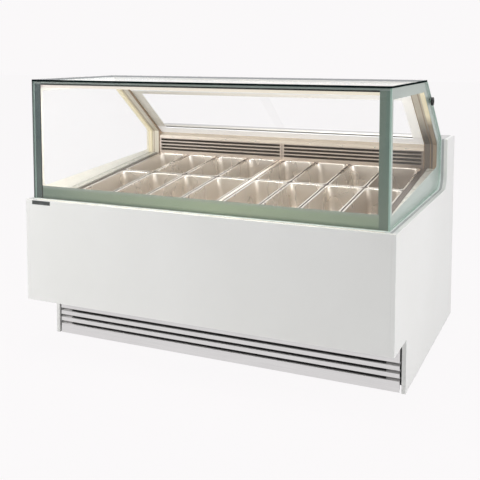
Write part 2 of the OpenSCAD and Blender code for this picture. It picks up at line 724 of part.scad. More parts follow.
module compressor() color("#181818") at_front() translate([compressor_at[0], compressor_at[1], machine_z]) {
    for (x = [-1, 1], y = [-1, 1]) translate([x * 85, y * 85, 0]) cylinder(d = 26, h = 18);
    translate([-110, -110, 18]) cube([220, 220, 4]);
    translate([0, 0, 22]) cylinder(d = compressor_d, h = compressor_h - 50);
    translate([0, 0, compressor_h - 28]) intersection() {
        translate([0, 0, -compressor_d * 0.9]) sphere(r = compressor_d * 0.9 * 1.14);
        cylinder(d = compressor_d, h = 60);
    }
    translate([compressor_d / 2 - 8, -30, 70]) cube([40, 60, 80]);
    translate([0, -line_y, line_z]) rotate([0, 90, 0]) cylinder(d = 16, h = line_x);
    translate([-50, 0, 100]) cylinder(d = 16, h = suction_z);
}

module condenser() color("#8f9496") at_front() {
    x = condenser_l / 2;
    z1 = machine_z + condenser_h;
    difference() {
        union() {
            box([condenser_x - x, condenser_y, machine_z], [condenser_x + x, condenser_y + condenser_w, z1]);
            box([condenser_x - x, condenser_y + condenser_w, machine_z], [condenser_x + x, cond_fan_y + 16, z1]);
        }
        box([condenser_x - x + 2, condenser_y + condenser_w + 1, machine_z + 2], [condenser_x + x - 2, cond_fan_y + 14, z1 - 2]);
        translate([condenser_x, cond_fan_y, cond_fan_z]) rotate([-90, 0, 0]) cylinder(d = cond_fan_d + 8, h = 60);
    }
    translate([condenser_x, cond_fan_y, cond_fan_z]) rotate([-90, 0, 0]) {
        cylinder(d = shaft_d, h = 50);
        translate([0, 0, 22]) cylinder(d = 74, h = 62);
        for (a = [0, 90, 180, 270]) rotate([0, 0, a + 45]) translate([34, -5, 15]) cube([cond_fan_d / 2 - 16, 10, 8]);
    }
}

module condenser_fan() color("#3a3d40") at_front() translate([condenser_x, cond_fan_y, cond_fan_z]) rotate([-90, 0, 0])
    fan_wheel(cond_fan_d, 60, 28, 5, shaft_d + 2 * shaft_gap);

module service_lines() color("#b0703c") at_front() {
    // drain through the tub floor
    translate([0, drain_y, machine_z + 60]) cylinder(d = 32, h = tub_z + floor_t - machine_z - 60);
    translate([0, drain_y, machine_z + 60]) rotate([-90, 0, 0]) cylinder(d = 32, h = 120);
    // discharge line from the compressor to the condenser
    z = machine_z + line_z;
    y = compressor_at[1] - line_y;
    bend_x = condenser_x - condenser_l / 2 - 50;
    line_to_y = condenser_y + condenser_w / 2;
    translate([compressor_at[0] + line_x + fit, y, z]) rotate([0, 90, 0])
        cylinder(d = line_d, h = bend_x - compressor_at[0] - line_x - fit);
    translate([bend_x, line_to_y, z]) rotate([-90, 0, 0]) cylinder(d = line_d, h = y - line_to_y);
    translate([bend_x, line_to_y, z]) rotate([0, 90, 0]) cylinder(d = line_d, h = 50 - fit);
    for (p = [y, line_to_y]) translate([bend_x, p, z]) sphere(d = line_d);
    // suction line from the compressor to the tub
    translate([compressor_at[0] - 50, compressor_at[1], machine_z + 100 + suction_z + fit])
        cylinder(d = line_d, h = tub_z - machine_z - 100 - suction_z - fit);
    // mains inlet gland on the service panel
    translate([224 - panel_in, service_y, 150]) rotate([-90, 0, 0]) difference() {
        union() {
            cylinder(d = 30, h = 8);
            cylinder(d = 22, h = 13);
        }
        translate([0, 0, 3]) cylinder(d = 12, h = 20);
    }
}

// ---- service side ----

module worktop() color("#cfcfcd") at_front() difference() {
    box([-panel_in + fit, worktop_y, shoulder_z - worktop_t], [panel_in - fit, case_d, shoulder_z]);
    for (s = [0, 1]) mirror([s, 0, 0])
        box([lip_x - fit, 0, 0], [case_w, riser_y + lip_h + fit, glass_top_z]);
    box([-panel_in + 8, worktop_y + 12, shoulder_z - worktop_t - 1],
        [panel_in - 8, duct_y + wall_rear - 8, shoulder_z - 2]);
}

module service_panel() color("#d9d9d7") at_front() difference() {
    box([-panel_in + fit, service_y - sheet_t, floor_gap], [panel_in - fit, service_y, shoulder_z - worktop_t]);
    for (k = [0:vents - 1]) for (x = [-0.69, -0.23, 0.23, 0.69])
        box([(x - 0.18) * panel_in, service_y - 5, 90 + k * 24], [(x + 0.18) * panel_in, service_y + 1, 100 + k * 24]);
    box([control_x - control_w / 2 + 8, service_y - 5, control_z - control_h / 2 + 8],
        [control_x + control_w / 2 - 8, service_y + 1, control_z + control_h / 2 - 8]);
}

rocker_at = [for (i = [0, 1]) [control_x + 34 + i * 44, service_y + 3, control_z]];

module control_panel() color("#2e3133") at_front() {
    z0 = control_z - control_h / 2;
    difference() {
        union() {
            box([control_x - control_w / 2, service_y, z0], [control_x + control_w / 2, service_y + 4, z0 + control_h]);
            box([control_x - control_w / 2 + 10, duct_y + wall_rear + 12, z0 + 10],
                [control_x + control_w / 2 - 10, service_y, z0 + control_h - 10]);
        }
        for (p = rocker_at)
            box([p[0] - rocker_w / 2 - 0.5, service_y - 14, control_z - rocker_h / 2 - 0.5],
                [p[0] + rocker_w / 2 + 0.5, service_y + 6, control_z + rocker_h / 2 + 0.5]);
    }
    // thermostat
    difference() {
        box([control_x - 100, service_y + 4, control_z - 18], [control_x - 22, service_y + 9, control_z + 18]);
        box([control_x - 94, service_y + 8, control_z - 8], [control_x - 52, service_y + 10, control_z + 12]);
    }
    // pivot pins of the switches
    for (p = rocker_at) translate([p[0], service_y - 2, control_z]) rotate([0, 90, 0]) cylinder(d = 3, h = rocker_w + 2, center = true);
}

// Rocker: two faces that meet at the middle, bored for the pivot pin.
module rocker(p) at_front() translate([p[0], service_y - 2, control_z]) rotate([-rocker_turn / 2, 0, 0]) difference() {
    rotate([90, 0, 90]) linear_extrude(rocker_w, center = true) polygon([
        [-6, -9], [-6, 9], [6, rocker_h / 2 - 1.2], [8.4, rocker_h / 2 - 1.2], [6.4, 0], [8.4, -rocker_h / 2 + 1.2], [6, -rocker_h / 2 + 1.2]]);
    rotate([0, 90, 0]) cylinder(d = 3 + 2 * shaft_gap, h = rocker_w + 2, center = true);
}

module power_switch() color("#b02a20") rocker(rocker_at[0]);

module light_switch() color("#1c1c1c") rocker(rocker_at[1]);

// ---- fasteners ----

module screw(d, h) {
    difference() {
        cylinder(d = d, h = h);
        translate([0, 0, h - 0.8]) cylinder(d = d * 0.42, h = 1, $fn = 6);
    }
}

module fasteners() color("#d0d0ce") {
    // on the rail above the rear grille
    for (x = [-0.88, -0.67, -0.44, -0.21, 0.21, 0.44, 0.67, 0.88])
        at_front() translate([x * post_x, sill_y, rear_top_z + 6]) rotate([90, 0, 0]) screw(7, 1.8);
    // round the service panel
    at_front() for (x = [-panel_in + 44, -0.32 * panel_in, 0.32 * panel_in, panel_in - 44]) for (z = [50, 360, 700])
        translate([x, service_y, z]) rotate([-90, 0, 0]) screw(9, 2);
}

base_frame();
levelling_feet();
side_panel_left();
side_panel_right();
side_lips();
glazing_strip();
front_panel();
name_plate();
kick_plate();
air_filter();
insulated_tub();
tub_liner();
front_deck();
side_ledges();
pan_frame();
front_glass();
side_glass_left();
side_glass_right();
top_glass();
light_channel();
light_strips();
rear_posts();
rear_frame();
door_tracks();
door_sill();
door_left();
door_right();
door_pull_left();
door_pull_right();
glass_fixings();
rear_grilles();
evaporator();
evaporator_fan_left();
evaporator_fan_right();
worktop();
service_panel();
control_panel();
power_switch();
light_switch();
compressor();
condenser();
condenser_fan();
service_lines();
fasteners();
for (i = [0:len(PAN_NAMES) - 1]) pan_at(i);
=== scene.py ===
import bpy
import math
import numpy as np
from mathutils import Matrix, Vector


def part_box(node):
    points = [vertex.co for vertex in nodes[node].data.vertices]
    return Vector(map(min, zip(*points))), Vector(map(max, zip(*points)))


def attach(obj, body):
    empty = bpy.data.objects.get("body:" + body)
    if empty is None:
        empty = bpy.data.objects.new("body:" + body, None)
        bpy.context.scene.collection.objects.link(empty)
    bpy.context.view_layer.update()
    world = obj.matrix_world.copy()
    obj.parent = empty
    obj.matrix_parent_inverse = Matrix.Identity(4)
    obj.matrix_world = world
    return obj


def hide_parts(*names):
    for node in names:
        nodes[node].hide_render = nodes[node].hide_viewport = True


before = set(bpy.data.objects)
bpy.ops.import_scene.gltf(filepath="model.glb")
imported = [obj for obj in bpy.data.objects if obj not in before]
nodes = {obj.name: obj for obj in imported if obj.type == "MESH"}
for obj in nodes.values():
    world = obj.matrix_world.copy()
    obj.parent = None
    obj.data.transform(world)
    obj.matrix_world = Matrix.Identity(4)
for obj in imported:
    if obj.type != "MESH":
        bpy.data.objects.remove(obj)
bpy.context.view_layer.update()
print("case frame loaded:", len(nodes), "parts")


# Quads of a grid of rows by columns; either way may close on itself.
def gridFaces(rows, columns, closeRows=False, closeColumns=True):
    i = np.arange(rows if closeRows else rows - 1)[:, None]
    j = np.arange(columns if closeColumns else columns - 1)[None, :]
    row = i * columns
    rowNext = ((i + 1) % rows) * columns
    jNext = (j + 1) % columns
    quads = np.stack([row + j, row + jNext, rowNext + jNext, rowNext + j], -1)
    return quads.reshape(-1, 4)


# Six times the signed volume of a closed quad mesh; below zero its faces point inwards.
def signedVolume(points, quads):
    a, b, c, d = (points[quads[:, k]] for k in range(4))
    return np.sum(a * np.cross(b, c)) + np.sum(a * np.cross(c, d))


# One closed piece from its points and quads, with its faces turned outwards; it rides on a body
# and takes its finish from a slot. Caps are the faces with many corners that close its ends.
def makePiece(name, points, quads, material, body, caps=(), smooth=True):
    quads = np.asarray(quads)
    faces = quads.tolist()
    if signedVolume(points, quads) < 0:
        faces = quads[:, ::-1].tolist()
        caps = [list(cap)[::-1] for cap in caps]
    mesh = bpy.data.meshes.new(name)
    mesh.from_pydata(points.tolist(), [], faces + [list(cap) for cap in caps])
    mesh.validate()
    mesh.polygons.foreach_set("use_smooth", np.full(len(mesh.polygons), smooth))
    mesh.update()
    piece = bpy.data.objects.new(name, mesh)
    bpy.context.scene.collection.objects.link(piece)
    mesh.materials.append(material)
    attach(piece, body)
    return piece


# Rounded rectangles, one a row: half sizes less a corner radius, plus the radius turned through
# a quarter circle at each corner.
def roundedRings(halfX, halfY, radius, steps):
    degrees = np.arange(4)[:, None] * 90 + np.linspace(0, 90, steps + 1)[None, :]
    turn = degrees.ravel() * math.pi / 180
    signX = np.repeat([1, -1, -1, 1], steps + 1)
    signY = np.repeat([1, 1, -1, -1], steps + 1)
    x = (halfX - radius)[:, None] * signX + radius[:, None] * np.cos(turn)
    y = (halfY - radius)[:, None] * signY + radius[:, None] * np.sin(turn)
    return x, y


# Polygon with rounded corners, anticlockwise: at each corner the radius swings from the normal of
# the edge that comes in to the normal of the edge that goes out.
def roundedOutline(corners, radii, steps=8):
    corner = np.asarray(corners, float)
    radius = np.asarray(radii, float)[:, None]
    into = corner - np.roll(corner, 1, 0)
    into /= np.linalg.norm(into, axis=1, keepdims=True)
    out = np.roll(into, -1, 0)
    turn = np.arccos(np.clip(np.sum(into * out, 1), -1, 1))[:, None]
    leftIn = np.stack([-into[:, 1], into[:, 0]], 1)
    leftOut = np.stack([-out[:, 1], out[:, 0]], 1)
    centre = corner - into * radius * np.tan(turn / 2) + leftIn * radius
    u = np.linspace(0, 1, steps + 1)[None, :, None]
    swing = turn[:, None]
    between = np.sin((1 - u) * swing) * leftIn[:, None] + np.sin(u * swing) * leftOut[:, None]
    arm = -between / np.sin(swing)
    return (centre[:, None] + radius[:, None] * arm).reshape(-1, 2)


def startFinish(name):
    material = bpy.data.materials.new(name)
    material.use_nodes = True
    tree = material.node_tree
    return material, tree, tree.nodes["Principled BSDF"]


# Each socket gets its value, or a link where the value is itself a node's output.
def setSockets(tree, node, values):
    for key, value in values.items():
        if isinstance(value, bpy.types.NodeSocket):
            tree.links.new(value, node.inputs[key])
        else:
            node.inputs[key].default_value = value


def addNode(tree, kind, sockets=None, **settings):
    node = tree.nodes.new(kind)
    for key, value in settings.items():
        setattr(node, key, value)
    setSockets(tree, node, sockets or {})
    return node


def objectPoint(tree):
    return addNode(tree, "ShaderNodeTexCoord").outputs["Object"]


def axisOf(tree, axis):
    return addNode(tree, "ShaderNodeSeparateXYZ", {0: objectPoint(tree)}).outputs[axis]


def normalOf(tree, axis):
    normal = addNode(tree, "ShaderNodeTexCoord").outputs["Normal"]
    return addNode(tree, "ShaderNodeSeparateXYZ", {0: normal}).outputs[axis]


def scaled(tree, scale):
    sockets = {"Vector": objectPoint(tree), "Scale": scale}
    return addNode(tree, "ShaderNodeMapping", sockets).outputs["Vector"]


def noise(tree, vector, scale, detail=3.0, rough=0.5):
    sockets = {"Vector": vector, "Scale": scale, "Detail": detail, "Roughness": rough}
    return addNode(tree, "ShaderNodeTexNoise", sockets).outputs["Fac"]


# A value from low to high becomes one from toLow to toHigh, and goes no further.
def spread(tree, value, low, high, toLow, toHigh):
    sockets = {"Value": value, "From Min": low, "From Max": high, "To Min": toLow, "To Max": toHigh}
    return addNode(tree, "ShaderNodeMapRange", sockets, clamp=True).outputs["Result"]


def blendColour(tree, factor, first, second):
    node = addNode(tree, "ShaderNodeMix", {0: factor, 6: first, 7: second}, data_type="RGBA")
    return node.outputs[2]


def maths(tree, operation, first, second=0.0):
    return addNode(tree, "ShaderNodeMath", {0: first, 1: second}, operation=operation).outputs[0]


def product(tree, first, second):
    return maths(tree, "MULTIPLY", first, second)


def difference(tree, first, second):
    return maths(tree, "SUBTRACT", first, second)


def relief(tree, height, strength, distance):
    sockets = {"Height": height, "Strength": strength, "Distance": distance}
    return addNode(tree, "ShaderNodeBump", sockets).outputs["Normal"]


# Nought on the left half of the case and one on the right, with a short change in its middle.
def rightHalf(tree):
    return spread(tree, axisOf(tree, 0), -0.1, 0.1, 0, 1)


def rgb(r, g, b):
    return (r, g, b, 1.0)


# Powder coat: orange peel, faint dust and a slow change in gloss.
def powderCoat(name, colour, dusty, roughLow, roughHigh):
    material, tree, shader = startFinish(name)
    peel = noise(tree, objectPoint(tree), 620, 2)
    slow = noise(tree, objectPoint(tree), 2.3, 3)
    fine = noise(tree, objectPoint(tree), 46, 4, 0.6)
    tone = blendColour(tree, spread(tree, slow, 0.35, 0.75, 0, 1), colour, dusty)
    tone = blendColour(tree, spread(tree, fine, 0.62, 0.9, 0, 0.35), tone, dusty)
    setSockets(tree, shader, {
        "Base Color": tone,
        "Roughness": spread(tree, fine, 0.3, 0.7, roughLow, roughHigh),
        "Normal": relief(tree, peel, 0.05, 0.0004),
        "Coat Weight": 0.18, "Coat Roughness": 0.18})


# Brushed metal: noise drawn out along one axis gives the grain, its gloss and its relief.
def brushed(name, colour, shade, grain, roughLow, roughHigh, strength=0.12, blotch=0.3):
    material, tree, shader = startFinish(name)
    fine = noise(tree, scaled(tree, grain), 1.0, 4, 0.65)
    broad = noise(tree, scaled(tree, tuple(g * 0.16 for g in grain)), 1.0, 2)
    cloud = noise(tree, objectPoint(tree), 9.0, 3)
    tone = blendColour(tree, spread(tree, fine, 0.32, 0.72, 0, 1), colour, shade)
    tone = blendColour(tree, spread(tree, cloud, 0.45, 0.8, 0, blotch), tone, shade)
    both = maths(tree, "ADD", product(tree, fine, 0.7), product(tree, broad, 0.3))
    setSockets(tree, shader, {
        "Base Color": tone, "Metallic": 1.0,
        "Roughness": spread(tree, both, 0.3, 0.7, roughLow, roughHigh),
        "Normal": relief(tree, both, strength, 0.0003)})


# Moulded plastic or rubber: fine grain, a little uneven gloss and, where lift is set, a painted
# glow of its own colour.
def moulded(name, colour, wearAndShadeTone, roughLow, roughHigh, grain=420, strength=0.08, lift=0.0):
    material, tree, shader = startFinish(name)
    fine = noise(tree, objectPoint(tree), grain, 3)
    slow = noise(tree, objectPoint(tree), 13, 3)
    setSockets(tree, shader, {
        "Base Color": blendColour(tree, spread(tree, slow, 0.35, 0.75, 0, 1), colour, wearAndShadeTone),
        "Roughness": spread(tree, slow, 0.3, 0.7, roughLow, roughHigh),
        # Painted glow: the piece gives off its own colour at the lift's strength, though it is no
        # lamp.
        "Emission Color": colour, "Emission Strength": lift,
        "Normal": relief(tree, fine, strength, 0.0003)})


# Clear pane: nearly open over its two faces, with a faint smear, more cover at a glance and,
# where lift is set, a painted glow of its own tone over its faces. Its polished edge has a tone of
# its own, with painted shade over the case's left half on some panes and darker streaks on others.
def paneGlass(name, pane):
    material, tree, shader = startFinish(name)
    along = maths(tree, "ABSOLUTE", normalOf(tree, pane["axis"]))
    isEdge = spread(tree, along, 0.45, 0.75, 1, 0)
    glance = addNode(tree, "ShaderNodeLayerWeight", {"Blend": 0.22}).outputs["Fresnel"]
    cover = maths(tree, "ADD", pane["cover"], product(tree, glance, pane["glance"]))
    smear = noise(tree, scaled(tree, (3, 3, 9)), 1.0, 3)
    cover = maths(tree, "ADD", cover, spread(tree, smear, 0.5, 0.85, 0, pane["smear"]))
    if pane["shadeLeftEdge"]:
        # Painted shade: the edge darkens over the case's left half.
        toDark = spread(tree, axisOf(tree, 0), -0.1, 0.1, 1, 0)
    else:
        streak = noise(tree, scaled(tree, (5, 60, 60)), 1.0, 2)
        toDark = spread(tree, streak, 0.35, 0.7, 0, 1)
    edgeTone = blendColour(tree, toDark, pane["edge"], pane["darkEdge"])
    alphaSockets = {0: isEdge, 2: cover, 3: pane["edgeCover"]}
    setSockets(tree, shader, {
        "Base Color": blendColour(tree, isEdge, pane["tone"], edgeTone),
        "Alpha": addNode(tree, "ShaderNodeMix", alphaSockets).outputs[0],
        "Roughness": 0.03, "IOR": 1.5, "Specular IOR Level": spread(tree, isEdge, 0, 1, 0.5, 0),
        # Painted glow: the faces give off their own tone at the lift's strength, the edge none.
        "Emission Color": pane["tone"],
        "Emission Strength": spread(tree, isEdge, 0, 1, pane["lift"], 0)})


# Steel with painted shade behind a given depth, in folded grooves and behind louvres, and with
# painted brown shade towards its right end.
def recessedSteel(name, sheet, faceDepth):
    material, tree, shader = startFinish(name)
    x, y = axisOf(tree, 0), axisOf(tree, 1)
    fine = noise(tree, scaled(tree, sheet["grain"]), 1.0, 4, 0.65)
    cloud = noise(tree, objectPoint(tree), 5.0, 3)
    tone = blendColour(tree, spread(tree, fine, 0.32, 0.72, 0, 1), sheet["colour"], sheet["shade"])
    tone = blendColour(tree, spread(tree, cloud, 0.45, 0.8, 0, 0.3), tone, sheet["shade"])
    # Painted shade: the right end turns to a brown shade tone.
    isEnd = spread(tree, x, *sheet["endStart"], 0, sheet["endShade"])
    tone = blendColour(tree, isEnd, tone, sheet["endShadeTone"])
    # Painted shade: faces deeper than the sheet's face turn dark.
    deep = spread(tree, y, faceDepth + sheet["start"], faceDepth + sheet["full"], 0, sheet["amount"])
    reach = maths(tree, "ABSOLUTE", x)
    inRun = spread(tree, reach, sheet["halfRun"], sheet["halfRun"] + 0.001, 1, 0.25)
    setSockets(tree, shader, {
        "Base Color": blendColour(tree, product(tree, deep, inRun), tone, sheet["paintedShade"]),
        "Metallic": 1.0,
        "Roughness": spread(tree, fine, 0.3, 0.7, *sheet["rough"]),
        "Normal": relief(tree, fine, 0.1, 0.0003)})


# The light strips. The glow changes from one end of the case to the other, with the faint beads
# of its lamps, and is paler at the channel's rear edge; the right post's strip has painted shade
# at its foot.
glowShape = {
    "left": rgb(0.80, 0.70, 0.68),
    "right": rgb(0.98, 0.88, 0.70),
    "bead": rgb(1.0, 0.94, 0.82),
    "rearEdge": rgb(0.85, 0.82, 0.79),
    "post": rgb(0.76, 0.66, 0.42),
    # Painted shade at the foot of the right post's strip, for its glow and for its own colour.
    "postShadeTone": rgb(0.10, 0.07, 0.045),
    "opal": rgb(0.40, 0.38, 0.32),
    "opalShadeTone": rgb(0.14, 0.10, 0.07),
    "level": 0.60,
    "beadRate": 380.0,               # radians a metre
    "rearEdgeStart": (0.031, 0.024), # metres in front of the posts' strips
    "dimStart": 0.13,                # metres under the posts' top
    "dimFull": 0.18,
}


def glowStrip(name, halfRun, postDepth, postHeight):
    glow = glowShape
    material, tree, shader = startFinish(name)
    x, y, z = axisOf(tree, 0), axisOf(tree, 1), axisOf(tree, 2)
    beads = maths(tree, "SINE", product(tree, x, glow["beadRate"]))
    tone = blendColour(tree, spread(tree, x, -halfRun, halfRun, 0, 1), glow["left"], glow["right"])
    tone = blendColour(tree, spread(tree, beads, -1, 1, 0, 0.12), tone, glow["bead"])
    # Painted shade: low on the right post the strip's glow and colour turn dark.
    isLow = spread(tree, z, postHeight - glow["dimFull"], postHeight - glow["dimStart"], 0.9, 0)
    dim = product(tree, isLow, rightHalf(tree))
    post = blendColour(tree, dim, glow["post"], glow["postShadeTone"])
    rearLow, rearHigh = glow["rearEdgeStart"]
    isRear = spread(tree, y, postDepth - rearLow, postDepth - rearHigh, 0, 0.75)
    tone = blendColour(tree, isRear, tone, glow["rearEdge"])
    onPost = spread(tree, y, postDepth, postDepth + 0.01, 0, 1)
    setSockets(tree, shader, {
        "Base Color": blendColour(tree, product(tree, onPost, dim), glow["opal"], glow["opalShadeTone"]),
        "Roughness": 0.4,
        "Emission Color": blendColour(tree, onPost, tone, post), "Emission Strength": glow["level"]})


# The rear posts: satin, with brown joint lines down them, and painted shade low on the right.
postShape = {
    "pale": rgb(0.66, 0.62, 0.53),
    "brown": rgb(0.56, 0.51, 0.42),
    "jointTone": rgb(0.30, 0.20, 0.12),
    # Painted shade low on the right post.
    "paintedFootShade": rgb(0.085, 0.060, 0.042),
    "joints": (0.032, 0.0615),   # metres in from the posts' outer faces
    "jointHalf": 0.0022,
    "footStart": 0.13,           # metres under the posts' top
    "footFull": 0.24,
}


def postSatin(name, halfWidth, postHeight):
    post = postShape
    material, tree, shader = startFinish(name)
    x, z = axisOf(tree, 0), axisOf(tree, 2)
    grain = noise(tree, scaled(tree, (500, 12, 12)), 1.0, 3)
    tone = blendColour(tree, spread(tree, grain, 0.35, 0.7, 0, 0.25), post["pale"], post["brown"])
    # Painted shade: the right post darkens towards its foot.
    isLow = spread(tree, z, postHeight - post["footFull"], postHeight - post["footStart"], 0.92, 0)
    tone = blendColour(tree, product(tree, isLow, rightHalf(tree)), tone, post["paintedFootShade"])
    reach = maths(tree, "ABSOLUTE", x)
    for joint in post["joints"]:
        gap = maths(tree, "ABSOLUTE", difference(tree, reach, halfWidth - joint))
        onJoint = spread(tree, gap, post["jointHalf"] * 0.7, post["jointHalf"], 0.85, 0)
        tone = blendColour(tree, onJoint, tone, post["jointTone"])
    setSockets(tree, shader, {
        "Base Color": tone, "Metallic": 0.25,
        "Roughness": spread(tree, grain, 0.3, 0.7, 0.34, 0.46),
        "Normal": relief(tree, grain, 0.08, 0.0003)})


# The pan frame: bright along the divider between the two groups of pans, and painted shade under
# the pans' rims elsewhere, in a dark tone and a lighter one mixed by fine noise.
frameShape = {
    "bright": rgb(0.86, 0.80, 0.71),
    # Painted shade under the pans' rims: a dark tone and a lighter one.
    "paintedShade": rgb(0.085, 0.062, 0.046),
    "wearAndShadeTone": rgb(0.17, 0.135, 0.105),
    "halfDivider": 0.011,
}


def shadedFrame(name):
    material, tree, shader = startFinish(name)
    fine = noise(tree, scaled(tree, (18, 600, 600)), 1.0, 4, 0.65)
    reach = maths(tree, "ABSOLUTE", axisOf(tree, 0))
    half = frameShape["halfDivider"]
    # Painted shade past the divider, in the dark tone flecked with the lighter one.
    under = spread(tree, reach, half, half + 0.001, 0, 1)
    isLighterShade = spread(tree, fine, 0.3, 0.7, 0, 0.5)
    deep = blendColour(tree, isLighterShade, frameShape["paintedShade"], frameShape["wearAndShadeTone"])
    setSockets(tree, shader, {
        "Base Color": blendColour(tree, under, frameShape["bright"], deep),
        "Metallic": spread(tree, under, 0, 1, 1, 0.4),
        "Roughness": spread(tree, fine, 0.3, 0.7, 0.34, 0.5),
        "Normal": relief(tree, fine, 0.06, 0.0003)})


# The pale frame round the rear opening: cream, painted lighter and whiter towards the right,
# with painted bluish-white light at its foot, bluish grey at its head, and a painted glow that
# grows to the right and at its foot and head.
openingShape = {
    "left": rgb(0.66, 0.64, 0.575),
    # The whiter right end is painted light.
    "right": rgb(0.86, 0.86, 0.84),
    "cloud": rgb(0.60, 0.56, 0.50),
    # The foot tone is painted light.
    "foot": rgb(0.84, 0.85, 0.88),
    "head": rgb(0.74, 0.77, 0.82),
    # Colour of the painted glow; its strengths follow below.
    "glow": rgb(0.95, 0.95, 0.93),
    "footHigh": 0.030,       # metres over the frame's foot
    "headHigh": 0.040,       # metres under its top
    "change": 0.012,
    "leftGlow": 0.05,
    "rightGlow": 0.34,
    "footGlow": 0.20,
    "headGlow": 0.30,
}


def openingFrame(name, low, high):
    shape = openingShape
    material, tree, shader = startFinish(name)
    x, z = axisOf(tree, 0), axisOf(tree, 2)
    fine = noise(tree, objectPoint(tree), 320, 3)
    slow = noise(tree, objectPoint(tree), 11, 3)
    across = spread(tree, x, -high.x, high.x, 0, 1)
    tone = blendColour(tree, across, shape["left"], shape["right"])
    tone = blendColour(tree, spread(tree, slow, 0.35, 0.75, 0, 0.12), tone, shape["cloud"])
    footHeight = low.z + shape["footHigh"]
    foot = spread(tree, z, footHeight, footHeight + shape["change"], 1, 0)
    tone = blendColour(tree, foot, tone, shape["foot"])
    headHeight = high.z - shape["headHigh"]
    head = spread(tree, z, headHeight - shape["change"], headHeight, 0, 1)
    tone = blendColour(tree, head, tone, shape["head"])
    # Painted glow: stronger to the right, and at the foot and the head.
    stiles = spread(tree, x, -high.x, high.x, shape["leftGlow"], shape["rightGlow"])
    bright = product(tree, stiles, spread(tree, foot, 0, 1, 1, 0.4))
    bright = maths(tree, "MAXIMUM", bright, product(tree, head, shape["headGlow"]))
    bright = maths(tree, "MAXIMUM", bright, product(tree, foot, shape["footGlow"]))
    setSockets(tree, shader, {
        "Base Color": tone, "Roughness": spread(tree, slow, 0.3, 0.7, 0.34, 0.46),
        "Emission Color": shape["glow"], "Emission Strength": bright,
        "Normal": relief(tree, fine, 0.06, 0.0003)})


# Powder coats: colour, dusty colour and the range of roughness.
coats = {
    "caseWhite": (rgb(0.86, 0.86, 0.845), rgb(0.83, 0.83, 0.81), 0.30, 0.40),
    "machineBlack": (rgb(0.022, 0.022, 0.024), rgb(0.040, 0.040, 0.042), 0.42, 0.56),
    "serviceGrey": (rgb(0.56, 0.57, 0.565), rgb(0.50, 0.51, 0.50), 0.36, 0.46),
}
# Brushed metals: colour, shade, grain along each axis, roughness, depth of the grain and blotches.
metals = {
    "frameSteel": (rgb(0.80, 0.73, 0.64), rgb(0.66, 0.59, 0.50), (18, 18, 600), 0.26, 0.40, 0.10),
    # The liner's dark brown is painted shade: it stands in for the deep shade in the well.
    "linerSteel": (rgb(0.27, 0.215, 0.165), rgb(0.20, 0.155, 0.12), (30, 500, 500), 0.35, 0.5),
    "worktopSteel": (rgb(0.50, 0.50, 0.495), rgb(0.44, 0.44, 0.435), (5, 800, 800), 0.30, 0.44),
    "railMetal": (rgb(0.70, 0.68, 0.63), rgb(0.60, 0.58, 0.53), (6, 600, 600), 0.35, 0.5),
    "channelMetal": (rgb(0.022, 0.026, 0.024), rgb(0.012, 0.014, 0.013), (6, 600, 600), 0.4, 0.55),
    "coilMetal": (rgb(0.56, 0.54, 0.52), rgb(0.24, 0.22, 0.20), (900, 30, 3), 0.3, 0.5, 0.5),
    "pipeCopper": (rgb(0.72, 0.42, 0.26), rgb(0.58, 0.33, 0.20), (60, 60, 60), 0.3, 0.45),
    "screwMetal": (rgb(0.86, 0.85, 0.83), rgb(0.74, 0.73, 0.71), (300, 300, 300), 0.16, 0.26),
}
# Plastics and rubber: colour, worn colour, roughness, grain, its depth and the lift of its colour,
# which is a painted glow.
plastics = {
    # The grey lips and the pale seals glow faintly by their lift: painted light.
    "lipGrey": (rgb(0.43, 0.435, 0.44), rgb(0.38, 0.385, 0.39), 0.40, 0.52, 420, 0.08, 0.08),
    "sealPale": (rgb(0.74, 0.80, 0.77), rgb(0.66, 0.73, 0.69), 0.25, 0.36, 160, 0.08, 0.28),
    "ledgeCream": (rgb(0.56, 0.56, 0.51), rgb(0.48, 0.47, 0.42), 0.22, 0.34),
    "blackPlastic": (rgb(0.008, 0.008, 0.008), rgb(0.018, 0.018, 0.017), 0.5, 0.65),
    "redPlastic": (rgb(0.42, 0.02, 0.015), rgb(0.34, 0.02, 0.015), 0.25, 0.36),
    # The tub's dark brown is painted shade: it makes the gaps over the tub read dark.
    "tubShell": (rgb(0.085, 0.062, 0.045), rgb(0.115, 0.088, 0.066), 0.5, 0.65),
    "filterMesh": (rgb(0.012, 0.012, 0.012), rgb(0.03, 0.03, 0.03), 0.7, 0.85, 900, 0.6),
    "plateDark": (rgb(0.050, 0.056, 0.055), rgb(0.075, 0.082, 0.080), 0.22, 0.32, 260),
}
for name, values in coats.items():
    powderCoat(name, *values)
for name, values in metals.items():
    brushed(name, *values)
for name, values in plastics.items():
    moulded(name, *values)

